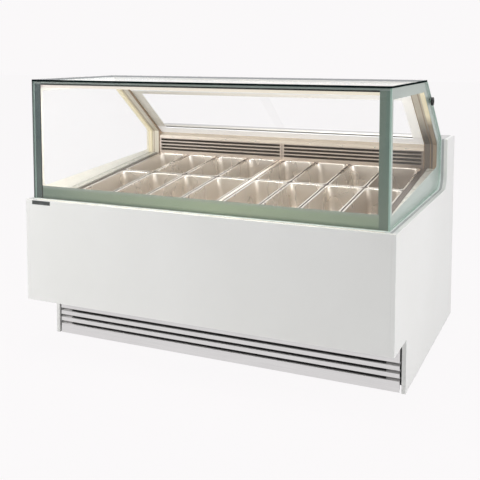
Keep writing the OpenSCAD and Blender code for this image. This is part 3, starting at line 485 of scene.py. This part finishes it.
# Folded steel sheets: the painted shade starts and is full at these depths behind the sheet's
# face, and is faint past halfRun from the middle; endShade is how far the right end turns to its
# end tone, which is painted shade too.
kickShape = {
    "colour": rgb(0.76, 0.755, 0.75),
    "shade": rgb(0.64, 0.635, 0.635),
    # The next tone is painted shade in the grooves; the one after is painted shade at the right end.
    "paintedShade": rgb(0.10, 0.10, 0.10),
    "endShadeTone": rgb(0.16, 0.125, 0.10),
    "grain": (5, 900, 900),
    "start": 0.0015,
    "full": 0.0045,
    "amount": 0.9,
    "rough": (0.34, 0.46),
    "halfRun": 0.722,
    "endStart": (0.52, 0.66),
    "endShade": 0.0,
}
grilleShape = {
    "colour": rgb(0.64, 0.555, 0.49),
    "shade": rgb(0.49, 0.42, 0.36),
    # The next tone is painted shade behind the louvres; the one after is painted shade at the right
    # end.
    "paintedShade": rgb(0.030, 0.022, 0.017),
    "endShadeTone": rgb(0.16, 0.125, 0.10),
    "grain": (6, 700, 700),
    "start": 0.0008,
    "full": 0.0022,
    "amount": 0.92,
    "rough": (0.26, 0.40),
    "halfRun": 9.0,
    "endStart": (0.52, 0.66),
    "endShade": 0.7,
}
recessedSteel("kickSteel", kickShape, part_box("kick_plate")[0].y)
recessedSteel("grilleSteel", grilleShape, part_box("rear_grilles")[0].y)

# Panes: the axis through each, how much it covers when clean, at a glance and where smeared, how
# much its edge covers, and the lift of its tone, which is a painted glow.
panes = {
    "frontPane": {"axis": 1, "tone": rgb(0.88, 0.90, 0.88), "cover": 0.012, "glance": 0.04,
                  "smear": 0.012, "lift": 0.0, "edge": rgb(0.50, 0.63, 0.57),
                  "darkEdge": rgb(0.10, 0.13, 0.125), "shadeLeftEdge": True, "edgeCover": 0.95},
    "sidePane": {"axis": 0, "tone": rgb(0.86, 0.91, 0.89), "cover": 0.010, "glance": 0.04,
                 "smear": 0.012, "lift": 0.0, "edge": rgb(0.46, 0.60, 0.54),
                 "darkEdge": rgb(0.46, 0.60, 0.54), "shadeLeftEdge": False, "edgeCover": 0.92},
    # The top pane's pale blue faces glow by its lift: painted light.
    "topPane": {"axis": 2, "tone": rgb(0.92, 0.97, 1.0), "cover": 0.04, "glance": 0.30,
                "smear": 0.012, "lift": 0.42, "edge": rgb(0.004, 0.008, 0.008),
                "darkEdge": rgb(0.010, 0.020, 0.019), "shadeLeftEdge": False, "edgeCover": 1.0},
    "doorPane": {"axis": 1, "tone": rgb(0.95, 0.95, 0.95), "cover": 0.001, "glance": 0.004,
                 "smear": 0.003, "lift": 0.0, "edge": rgb(0.88, 0.90, 0.88),
                 "darkEdge": rgb(0.88, 0.90, 0.88), "shadeLeftEdge": True, "edgeCover": 0.03},
}
for name, pane in panes.items():
    paneGlass(name, pane)

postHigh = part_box("rear_posts")[1]
channelLow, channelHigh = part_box("light_channel")
postSatin("postCream", postHigh.x, postHigh.z)
glowStrip("lampStrip", channelHigh.x, channelHigh.y + 0.01, postHigh.z)
openingFrame("frameCream", *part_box("rear_frame"))
shadedFrame("frameShade")
print("finishes made:", len(bpy.data.materials))

# Which finish each part of the case takes; the pans have their own.
dressing = {
    "caseWhite": ["side_panel_left", "side_panel_right", "front_panel"],
    "kickSteel": ["kick_plate"],
    "frameSteel": ["front_deck", "door_sill"],
    "frameShade": ["pan_frame"],
    "linerSteel": ["tub_liner"],
    "grilleSteel": ["rear_grilles"],
    "worktopSteel": ["worktop"],
    "postCream": ["rear_posts"],
    "railMetal": ["door_tracks", "door_pull_left", "door_pull_right"],
    "channelMetal": ["light_channel"],
    "coilMetal": ["evaporator", "condenser"],
    "pipeCopper": ["service_lines"],
    "screwMetal": ["fasteners"],
    "lipGrey": ["side_lips"],
    "sealPale": ["glazing_strip"],
    "ledgeCream": ["side_ledges"],
    "frameCream": ["rear_frame"],
    "blackPlastic": ["levelling_feet", "glass_fixings", "light_switch", "evaporator_fan_left",
                     "evaporator_fan_right", "condenser_fan"],
    "redPlastic": ["power_switch"],
    "tubShell": ["insulated_tub"],
    "filterMesh": ["air_filter"],
    "plateDark": ["name_plate", "control_panel"],
    "machineBlack": ["base_frame", "compressor"],
    "serviceGrey": ["service_panel"],
    "frontPane": ["front_glass"],
    "sidePane": ["side_glass_left", "side_glass_right"],
    "topPane": ["top_glass"],
    "doorPane": ["door_left", "door_right"],
    "lampStrip": ["light_strips"],
}
for finish, names in dressing.items():
    for name in names:
        nodes[name].data.materials.clear()
        nodes[name].data.materials.append(bpy.data.materials[finish])

# A pressed pan: its rim, corners, walls and sheet in metres, and its finish.
panShape = {
    "rimFlat": 0.0056,
    "wallTop": 0.0088,       # in from the rim's outer edge
    "wallFoot": 0.0150,
    "depth": 0.1188,
    "sheet": 0.0010,
    "boxDepth": 0.120,       # of its CAD solid
    "boxInset": 0.008,       # of that solid's foot
    "arcSteps": 9,
    "well": rgb(0.71, 0.668, 0.612),
    "shade": rgb(0.64, 0.595, 0.54),
    # The rim's tone is a painted highlight; the far tone is painted shade to the right.
    "rim": rgb(0.60, 0.57, 0.52),
    "farTone": rgb(0.34, 0.28, 0.235),
    "farStart": (0.50, 0.66),         # distances to the right of the case's middle
    "rimChange": (-0.006, -0.0015),   # heights over the deck plane where the well turns to rim
    "rough": (0.22, 0.34),
}


# Satin pan steel: faint drawn grain, clouds and water marks, a rim in a tone of its own and fully
# metal for the bright line it shows, which is a painted highlight, and painted shade towards the
# case's right side. A point's height over the deck plane, which passes through deckPoint (a depth
# and a height) at the tilt, tells the rim from the well.
def panFinish(name, tilt, deckPoint):
    shape = panShape
    material, tree, shader = startFinish(name)
    x, y, z = axisOf(tree, 0), axisOf(tree, 1), axisOf(tree, 2)
    height = difference(tree, product(tree, difference(tree, z, deckPoint[1]), math.cos(tilt)),
                        product(tree, difference(tree, y, deckPoint[0]), math.sin(tilt)))
    fine = noise(tree, scaled(tree, (300, 300, 9)), 1.0, 3, 0.5)
    cloud = noise(tree, scaled(tree, (7, 7, 5)), 1.0, 2)
    marks = noise(tree, objectPoint(tree), 90, 4, 0.6)
    tone = blendColour(tree, spread(tree, fine, 0.32, 0.72, 0, 0.12), shape["well"], shape["shade"])
    tone = blendColour(tree, spread(tree, cloud, 0.40, 0.75, 0, 0.3), tone, shape["shade"])
    tone = blendColour(tree, spread(tree, marks, 0.66, 0.9, 0, 0.12), tone, shape["shade"])
    # Painted shade towards the case's right side, stronger in the rear row.
    far = product(tree, spread(tree, x, *shape["farStart"], 0, 0.6),
                  spread(tree, y, -0.1, 0.1, 0.5, 1))
    tone = blendColour(tree, far, tone, shape["farTone"])
    # Painted highlight: the rim takes its own tone.
    isRim = spread(tree, height, *shape["rimChange"], 0, 1)
    setSockets(tree, shader, {
        "Base Color": blendColour(tree, isRim, tone, shape["rim"]),
        "Metallic": spread(tree, height, *shape["rimChange"], 0.72, 1),
        "Roughness": spread(tree, cloud, 0.3, 0.7, *shape["rough"]),
        "Normal": relief(tree, cloud, 0.02, 0.001)})
    return material


# Pan: a profile of insets, heights and corner radii, in metres from the rim's outer edge, carried
# round a rounded rectangle: from the middle of the underside, up the outside, over the rolled rim
# and down the inside to the floor.
def makePan(node, tilt, length):
    low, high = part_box(node)
    shape = panShape
    width = high.x - low.x
    origin = np.array([low.x + width / 2, low.y, high.z - length * math.sin(tilt)])
    top, foot = shape["wallTop"], shape["wallFoot"]
    depth, sheet = shape["depth"], shape["sheet"]
    rolledRim = [[0.0002, -0.0015, 0.0180], [0.0000, -0.0010, 0.0180], [0.0002, -0.0004, 0.0180],
                 [0.0009, -0.0001, 0.0175], [0.0018, 0.0000, 0.0168],
                 [shape["rimFlat"], 0.0000, 0.0170], [0.0068, -0.0003, 0.0195],
                 [0.0078, -0.0013, 0.0215], [0.0084, -0.0028, 0.0230]]
    inside = [[top, -0.0050, 0.0240],
              [top + (foot - top) * 0.45, -depth * 0.47, 0.0262],
              [top + (foot - top) * 0.9, -depth * 0.86, 0.0285],
              [foot + 0.0006, -depth * 0.925, 0.0290],
              [foot + 0.0030, -depth * 0.965, 0.0285],
              [foot + 0.0072, -depth * 0.990, 0.0270],
              [foot + 0.0130, -depth, 0.0250],
              [0.055, -depth - 0.0001, 0.012],
              [0.072, -depth - 0.0002, 0.004]]
    outside = [[0.072, -depth - sheet, 0.004],
               [0.055, -depth - sheet, 0.012],
               [foot + 0.0120, -depth - sheet, 0.0250],
               [foot + 0.0060, -depth * 0.990 - sheet, 0.0270],
               [foot + 0.0018, -depth * 0.965 - sheet * 0.6, 0.0285],
               [foot - sheet, -depth * 0.92, 0.0295],
               [top - sheet, -0.0055, 0.0250],
               [0.0074, -0.0034, 0.0225], [0.0060, -0.0020, 0.0185], [0.0008, -0.0019, 0.0176]]
    inset, rise, radius = np.array(outside + rolledRim + inside).T
    x, along = roundedRings(width / 2 - inset, length / 2 - inset, radius, shape["arcSteps"])
    along = along + length / 2
    height = np.repeat(rise[:, None], x.shape[1], 1)
    points = np.stack([origin[0] + x,
                       origin[1] + along * math.cos(tilt) - height * math.sin(tilt),
                       origin[2] + along * math.sin(tilt) + height * math.cos(tilt)], -1)
    rows, columns = x.shape
    quads = gridFaces(rows, columns)
    piece = makePiece("pressed_" + node, points.reshape(-1, 3), quads, panSteel, node,
                      caps=[range(columns)[::-1], range((rows - 1) * columns, rows * columns)])
    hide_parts(node)


# The deck's slope: the rise of the rear row's boxes over the front row's, over the depth between.
frontLow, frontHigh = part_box("pan_front_1")
rearLow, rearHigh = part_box("pan_rear_1")
deckTilt = math.atan2(rearHigh.z - frontHigh.z, rearLow.y - frontLow.y)
# A pan's box holds its length along the slope and the foot, which stands out behind the rim.
panLength = ((frontHigh.y - frontLow.y) - panShape["boxDepth"] * math.sin(deckTilt)
             + panShape["boxInset"] * math.cos(deckTilt)) / math.cos(deckTilt)
panSteel = panFinish("panSteel", deckTilt, (rearLow.y, rearHigh.z - panLength * math.sin(deckTilt)))
panNodes = [name for name in sorted(nodes) if name.startswith("pan_") and name != "pan_frame"]
for name in panNodes:
    makePan(name, deckTilt, panLength)
print("pans pressed:", len(panNodes), "length", round(panLength, 4),
      "tilt", round(math.degrees(deckTilt), 3))

# The printed borders: widths from the edges of each pane, in metres.
borderShape = {
    "thick": 0.00018,
    "off": 0.00003,          # printed layer to the glass
    "edgeGap": 0.0006,       # printed layer to the pane's edge
    "edgeRadius": 0.0005,
    "frontLeft": 0.040,
    "frontRight": 0.044,
    "frontLow": 0.055,
    "frontHigh": 0.0080,
    "frontRadius": 0.003,
    "sideFront": 0.052,
    "sideHigh": 0.042,
    "sideRear": 0.062,
    "sideSlope": 0.052,
    "sideLowFront": 0.044,
    "sideLowRear": 0.104,
    "sideFootRadius": 0.012,
    "sideKneeRadius": 0.010,
    "sideHeadRadius": 0.003,
    "shoulderRadius": 0.0572,    # the pane's own rounded corner at the rear
}


# The front glass's print: its tones, and where they meet, in metres in from the nearer side edge
# unless a note says otherwise.
frontTones = {
    "footLeft": rgb(0.165, 0.215, 0.178),
    "footMiddle": rgb(0.400, 0.480, 0.330),
    "footRight": rgb(0.325, 0.395, 0.295),
    "footCloud": rgb(0.36, 0.39, 0.30),
    "footDark": rgb(0.085, 0.120, 0.100),
    # Painted reflection along the inner edge of the foot band.
    "footReflection": rgb(0.42, 0.44, 0.42),
    "leftLow": rgb(0.105, 0.130, 0.122),
    "leftHigh": rgb(0.070, 0.098, 0.098),
    "rightLow": rgb(0.215, 0.265, 0.215),
    "rightHigh": rgb(0.165, 0.235, 0.198),
    "rightInner": rgb(0.200, 0.245, 0.205),
    "hem": rgb(0.030, 0.026, 0.020),
    "head": rgb(0.30, 0.345, 0.32),
    "stileEnd": (0.040, 0.043),
    "innerStart": (0.018, 0.024),
    "stileChange": (0.08, 0.30),     # over the pane's foot
    "hemStart": (-0.0052, -0.0042),  # from the opening's left edge
}


# Enamel on the inside of the front glass: dark at its foot, with a painted silvery reflection at
# its inner edge, greener to the right, with a dark hem at the opening's left and a second tone on
# the right stile.
def frontEnamel(name, low, high, border):
    tones = frontTones
    material, tree, shader = startFinish(name)
    x, z = axisOf(tree, 0), axisOf(tree, 2)
    across = spread(tree, x, low.x, high.x, 0, 1)
    cloud = noise(tree, scaled(tree, (3, 4, 30)), 1.0, 3)
    toMiddle = spread(tree, across, 0, 0.55, 0, 1)
    foot = blendColour(tree, toMiddle, tones["footLeft"], tones["footMiddle"])
    foot = blendColour(tree, spread(tree, across, 0.55, 1, 0, 1), foot, tones["footRight"])
    foot = blendColour(tree, spread(tree, cloud, 0.35, 0.75, 0, 0.35), foot, tones["footCloud"])
    footHeight = low.z + border["frontLow"]
    rise = spread(tree, z, low.z, footHeight, 0, 1)
    foot = blendColour(tree, spread(tree, rise, 0.02, 0.30, 0.60, 0), foot, tones["footDark"])
    # Painted reflection: a silvery band at the foot band's inner edge.
    foot = blendColour(tree, spread(tree, rise, 0.72, 0.96, 0, 0.55), foot, tones["footReflection"])
    changeLow, changeHigh = tones["stileChange"]
    stileRise = spread(tree, z, low.z + changeLow, low.z + changeHigh, 0, 1)
    leftStile = blendColour(tree, stileRise, tones["leftLow"], tones["leftHigh"])
    rightStile = blendColour(tree, stileRise, tones["rightLow"], tones["rightHigh"])
    upright = blendColour(tree, spread(tree, across, 0.3, 0.7, 0, 1), leftStile, rightStile)
    edgeGap = maths(tree, "MINIMUM", difference(tree, x, low.x), difference(tree, high.x, x))
    inner = spread(tree, edgeGap, *tones["innerStart"], 0, 0.65)
    upright = blendColour(tree, product(tree, inner, across), upright, tones["rightInner"])
    isFoot = spread(tree, z, footHeight - 0.002, footHeight + 0.004, 1, 0)
    tone = blendColour(tree, isFoot, upright, foot)
    onStile = spread(tree, edgeGap, *tones["stileEnd"], 1, 0)
    tone = blendColour(tree, onStile, tone, upright)
    hem = difference(tree, x, low.x + border["frontLeft"])
    hemTone = blendColour(tree, spread(tree, hem, 0, 0.002, 0, 1), tones["hem"], tone)
    tone = blendColour(tree, spread(tree, hem, *tones["hemStart"], 0, 0.92), tone, hemTone)
    headHeight = high.z - border["frontHigh"]
    isHead = spread(tree, z, headHeight - 0.0010, headHeight, 0, 1)
    setSockets(tree, shader, {
        "Base Color": blendColour(tree, isHead, tone, tones["head"]),
        "Roughness": spread(tree, cloud, 0.3, 0.7, 0.26, 0.38), "Specular IOR Level": 0.2})
    return material


# A side glass's print: its tones, and where they meet, in metres in from the pane's front edge
# unless a note says otherwise.
sideTones = {
    "outer": rgb(0.315, 0.385, 0.340),
    "outerCloud": rgb(0.365, 0.430, 0.380),
    "outerHigh": rgb(0.285, 0.340, 0.305),
    "outerEdge": rgb(0.56, 0.68, 0.62),
    "outerFoot": rgb(0.42, 0.51, 0.46),
    "hem": rgb(0.36, 0.33, 0.30),
    "line": rgb(0.13, 0.12, 0.10),
    "inner": rgb(0.90, 0.90, 0.85),
    "edgeEnd": (0.010, 0.014),
    "hemEnd": (0.020, 0.024),
    "lineAt": 0.022,
    "lineHalf": (0.0016, 0.0026),    # half widths at which the line is full and gone
    "headChange": (0.16, 0.02),      # under the pane's top
    "footChange": (0.02, 0.18),      # over its foot
    # Strength of the painted glow on the inner side.
    "innerPaintedGlow": 0.14,
}


# Enamel on a side glass: pale grey-green outside with a lighter front edge and foot; inside it is
# white with a beige hem and a fine dark line along the front, with a faint painted glow. A normal
# that points away from the case is on the outside.
def sideEnamel(name, side, low, high):
    tones = sideTones
    material, tree, shader = startFinish(name)
    y, z = axisOf(tree, 1), axisOf(tree, 2)
    cloud = noise(tree, scaled(tree, (5, 3, 6)), 1.0, 3)
    isCloud = spread(tree, cloud, 0.35, 0.7, 0, 1)
    outer = blendColour(tree, isCloud, tones["outer"], tones["outerCloud"])
    headLow, headHigh = tones["headChange"]
    upper = spread(tree, z, high.z - headLow, high.z - headHigh, 0, 0.7)
    outer = blendColour(tree, upper, outer, tones["outerHigh"])
    edgeLow, edgeHigh = tones["edgeEnd"]
    onEdge = spread(tree, y, low.y + edgeLow, low.y + edgeHigh, 0.9, 0)
    outer = blendColour(tree, onEdge, outer, tones["outerEdge"])
    footLow, footHigh = tones["footChange"]
    nearFoot = spread(tree, z, low.z + footLow, low.z + footHigh, 0.8, 0)
    outer = blendColour(tree, nearFoot, outer, tones["outerFoot"])
    hemLow, hemHigh = tones["hemEnd"]
    pastHem = spread(tree, y, low.y + hemLow, low.y + hemHigh, 0, 1)
    within = blendColour(tree, pastHem, tones["hem"], tones["inner"])
    gap = maths(tree, "ABSOLUTE", difference(tree, y, low.y + tones["lineAt"]))
    onLine = spread(tree, gap, *tones["lineHalf"], 0.8, 0)
    within = blendColour(tree, onLine, within, tones["line"])
    isOuter = spread(tree, product(tree, normalOf(tree, 0), side), -0.2, 0.2, 0, 1)
    setSockets(tree, shader, {
        "Base Color": blendColour(tree, isOuter, within, outer),
        "Roughness": 0.3, "Coat Weight": 0.2,
        # Painted glow: the inner side gives off its own colour.
        "Emission Color": blendColour(tree, isOuter, within, rgb(0, 0, 0)),
        "Emission Strength": tones["innerPaintedGlow"]})
    return material


# Flat ring between two outlines of as many points, with a front and a back: four rows that close.
def makeBorder(name, outline, opening, place, material):
    rows = [place(outline, 0), place(opening, 0), place(opening, 1), place(outline, 1)]
    points = np.stack(rows)
    quads = gridFaces(4, points.shape[1], closeRows=True)
    makePiece(name, points.reshape(-1, 3), quads, material, "cabinet", smooth=False)


# Corners of an upright rectangle, anticlockwise from the lower left.
def rectangle(left, right, foot, head):
    return [(left, foot), (right, foot), (right, head), (left, head)]


shape = borderShape
inset = shape["edgeGap"]
glassLow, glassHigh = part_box("front_glass")
frontOutline = roundedOutline(
    rectangle(glassLow.x + inset, glassHigh.x - inset, glassLow.z + inset, glassHigh.z - inset),
    [shape["edgeRadius"]] * 4, 4)
frontOpening = roundedOutline(
    rectangle(glassLow.x + shape["frontLeft"], glassHigh.x - shape["frontRight"],
              glassLow.z + shape["frontLow"], glassHigh.z - shape["frontHigh"]),
    [shape["frontRadius"]] * 4, 4)


# Places on the inner face of the front glass; back is 1 for the layer's far side.
def onFront(outline, back):
    y = np.full(len(outline), glassHigh.y + shape["off"] + back * shape["thick"])
    return np.stack([outline[:, 0], y, outline[:, 1]], 1)


frontPrint = frontEnamel("frontPrint", glassLow, glassHigh, borderShape)
makeBorder("front_glass_print", frontOutline, frontOpening, onFront, frontPrint)

# The side pane's rear slope runs from its rearmost point to its highest one.
paneLow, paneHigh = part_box("side_glass_right")
paneMesh = nodes["side_glass_right"].data
paneCo = np.zeros(len(paneMesh.vertices) * 3, np.float32)
paneMesh.vertices.foreach_get("co", paneCo)
paneCo = paneCo.reshape(-1, 3)
slopeEnd = (paneHigh.y, paneCo[paneCo[:, 1] > paneHigh.y - 1e-4][:, 2].max())
slopeTop = (paneCo[paneCo[:, 2] > paneHigh.z - 1e-4][:, 1].max(), paneHigh.z)
slopeRun = np.subtract(slopeTop, slopeEnd)
slopeRun = slopeRun / np.linalg.norm(slopeRun)
slopeIn = np.array([-slopeRun[1], slopeRun[0]])   # into the pane


# Where the line that runs deep inside the slope meets a height or a depth.
def slopeAtHeight(z, deep):
    start = np.array(slopeEnd) + slopeIn * deep
    return (start[0] + slopeRun[0] * (z - start[1]) / slopeRun[1], z)


def slopeAtDepth(y, deep):
    start = np.array(slopeEnd) + slopeIn * deep
    return (y, start[1] + slopeRun[1] * (y - start[0]) / slopeRun[0])


edge = shape["edgeRadius"]
sideOutline = roundedOutline(
    [(paneLow.y + inset, paneLow.z + inset), (paneHigh.y - inset, paneLow.z + inset),
     slopeAtDepth(paneHigh.y - inset, inset), slopeAtHeight(paneHigh.z - inset, inset),
     (paneLow.y + inset, paneHigh.z - inset)],
    [edge, shape["shoulderRadius"], edge, edge, edge])
rear = paneHigh.y - shape["sideRear"]
top = paneHigh.z - shape["sideHigh"]
sideOpening = roundedOutline(
    [(paneLow.y + shape["sideFront"], paneLow.z + shape["sideLowFront"]),
     (rear, paneLow.z + shape["sideLowRear"]),
     slopeAtDepth(rear, shape["sideSlope"]), slopeAtHeight(top, shape["sideSlope"]),
     (paneLow.y + shape["sideFront"], top)],
    [shape["sideFootRadius"], shape["sideFootRadius"], shape["sideKneeRadius"],
     shape["sideHeadRadius"], shape["sideHeadRadius"]])

for side, ending, node in ((1, "Right", "side_glass_right"), (-1, "Left", "side_glass_left")):
    # Places on the inner face of this side's glass.
    def onSide(outline, back, side=side):
        x = np.full(len(outline), side * (paneLow.x - shape["off"] - back * shape["thick"]))
        return np.stack([x, outline[:, 0], outline[:, 1]], 1)

    sidePrint = sideEnamel("sidePrint" + ending, side, paneLow, paneHigh)
    makeBorder(node + "_print", sideOutline, sideOpening, onSide, sidePrint)
print("borders printed")

# The studio: the pale tone seen behind the object, the air that lights it, and the floor, which
# is pale and faintly shaded to the camera and plain matt to the rest of the light.
studio = {
    "pale": rgb(0.957, 0.940, 0.947),
    "ambient": rgb(0.97, 0.98, 1.0),
    "ambientLevel": 0.40,
    "floorHalf": 30,
    "floorMatt": rgb(0.80, 0.80, 0.80),
    "floorLift": 0.98,
    "floorFaint": rgb(0.025, 0.025, 0.025),
}
scene = bpy.context.scene
scene.view_settings.view_transform = "Standard"


# One where the camera looks straight at a surface or sees it in metal or through glass.
def seenByCamera(tree):
    path = addNode(tree, "ShaderNodeLightPath").outputs
    mirrored = maths(tree, "MAXIMUM", path["Is Glossy Ray"], path["Is Transmission Ray"])
    return maths(tree, "MAXIMUM", path["Is Camera Ray"], mirrored)


world = bpy.data.worlds.new("studioAir")
scene.world = world
world.use_nodes = True
tree = world.node_tree
tree.nodes.clear()
backdrop = addNode(tree, "ShaderNodeBackground", {"Color": studio["pale"], "Strength": 1.0})
air = addNode(tree, "ShaderNodeBackground",
              {"Color": studio["ambient"], "Strength": studio["ambientLevel"]})
either = addNode(tree, "ShaderNodeMixShader",
                 {0: seenByCamera(tree), 1: air.outputs[0], 2: backdrop.outputs[0]})
addNode(tree, "ShaderNodeOutputWorld", {"Surface": either.outputs[0]})

half = studio["floorHalf"]
floorMesh = bpy.data.meshes.new("studioFloor")
floorMesh.from_pydata([(-half, -half, 0), (half, -half, 0), (half, half, 0), (-half, half, 0)],
                      [], [(0, 1, 2, 3)])
floor = bpy.data.objects.new("studioFloor", floorMesh)
scene.collection.objects.link(floor)
floorFinish = bpy.data.materials.new("floorPale")
floorFinish.use_nodes = True
tree = floorFinish.node_tree
tree.nodes.clear()
matt = addNode(tree, "ShaderNodeBsdfDiffuse", {"Color": studio["floorMatt"]})
faint = addNode(tree, "ShaderNodeBsdfDiffuse", {"Color": studio["floorFaint"]})
lift = addNode(tree, "ShaderNodeEmission",
               {"Color": studio["pale"], "Strength": studio["floorLift"]})
pale = addNode(tree, "ShaderNodeAddShader", {0: faint.outputs[0], 1: lift.outputs[0]})
either = addNode(tree, "ShaderNodeMixShader",
                 {0: seenByCamera(tree), 1: matt.outputs[0], 2: pale.outputs[0]})
addNode(tree, "ShaderNodeOutputMaterial", {"Surface": either.outputs[0]})
floorMesh.materials.append(floorFinish)

# The lamps: place, aim, width, height, watts and colour of each. The last is the glow of the
# light strip, just under its channel.
glowY, glowZ = channelLow.y, channelLow.z
lamps = {
    "softboxLeft": ((-2.3, -2.6, 1.9), (-0.7, -0.6, 0.45), 1.4, 1.8, 47, (1.0, 0.99, 0.97)),
    "sideFill": ((3.3, -0.62, 1.3), (0.8, -0.3, 0.30), 1.0, 1.8, 28, (1.0, 0.99, 0.98)),
    "ceiling": ((0.2, -0.4, 4.2), (0.0, 0.0, 0.6), 3.0, 2.4, 54, (1.0, 1.0, 1.0)),
    "rearFill": ((-0.6, 3.2, 4.0), (0.0, 0.2, 0.6), 2.6, 1.8, 40, (1.0, 1.0, 1.0)),
    "canopyGlow": ((0, glowY + 0.02, glowZ - 0.02), (0, glowY + 0.35, glowZ - 0.5),
                   1.26, 0.03, 3.8, (1.0, 0.92, 0.81)),
}


# Area lamp turned so that its -Z axis points at its aim.
def hangLamp(name, place, aim, width, height, watts, colour):
    data = bpy.data.lights.new(name, "AREA")
    data.shape = "RECTANGLE"
    data.size, data.size_y = width, height
    data.energy = watts
    data.color = colour
    lamp = bpy.data.objects.new(name, data)
    lamp.location = place
    direction = (np.array(aim) - np.array(place)).tolist()
    lamp.rotation_euler = Vector(direction).to_track_quat("-Z", "Y").to_euler()
    scene.collection.objects.link(lamp)


for name, values in lamps.items():
    hangLamp(name, *values)

cameraSettings = {
    "eye": (1.4005, -3.2317, 1.2864),
    "turn": 24.375,      # degrees, towards -X
    "tilt": -4.692,      # degrees, below the horizon
    "sensor": 36,
    "lens": 58.479,
    "shiftUp": -0.26042,
    "near": 0.05,
}
cameraData = bpy.data.cameras.new("studioCamera")
cameraData.sensor_width = cameraSettings["sensor"]
cameraData.lens = cameraSettings["lens"]
cameraData.shift_y = cameraSettings["shiftUp"]
cameraData.clip_start = cameraSettings["near"]
camera = bpy.data.objects.new("studioCamera", cameraData)
camera.location = cameraSettings["eye"]
camera.rotation_euler = (math.radians(90 + cameraSettings["tilt"]), 0,
                         math.radians(cameraSettings["turn"]))
scene.collection.objects.link(camera)
scene.camera = camera
print("studio set")
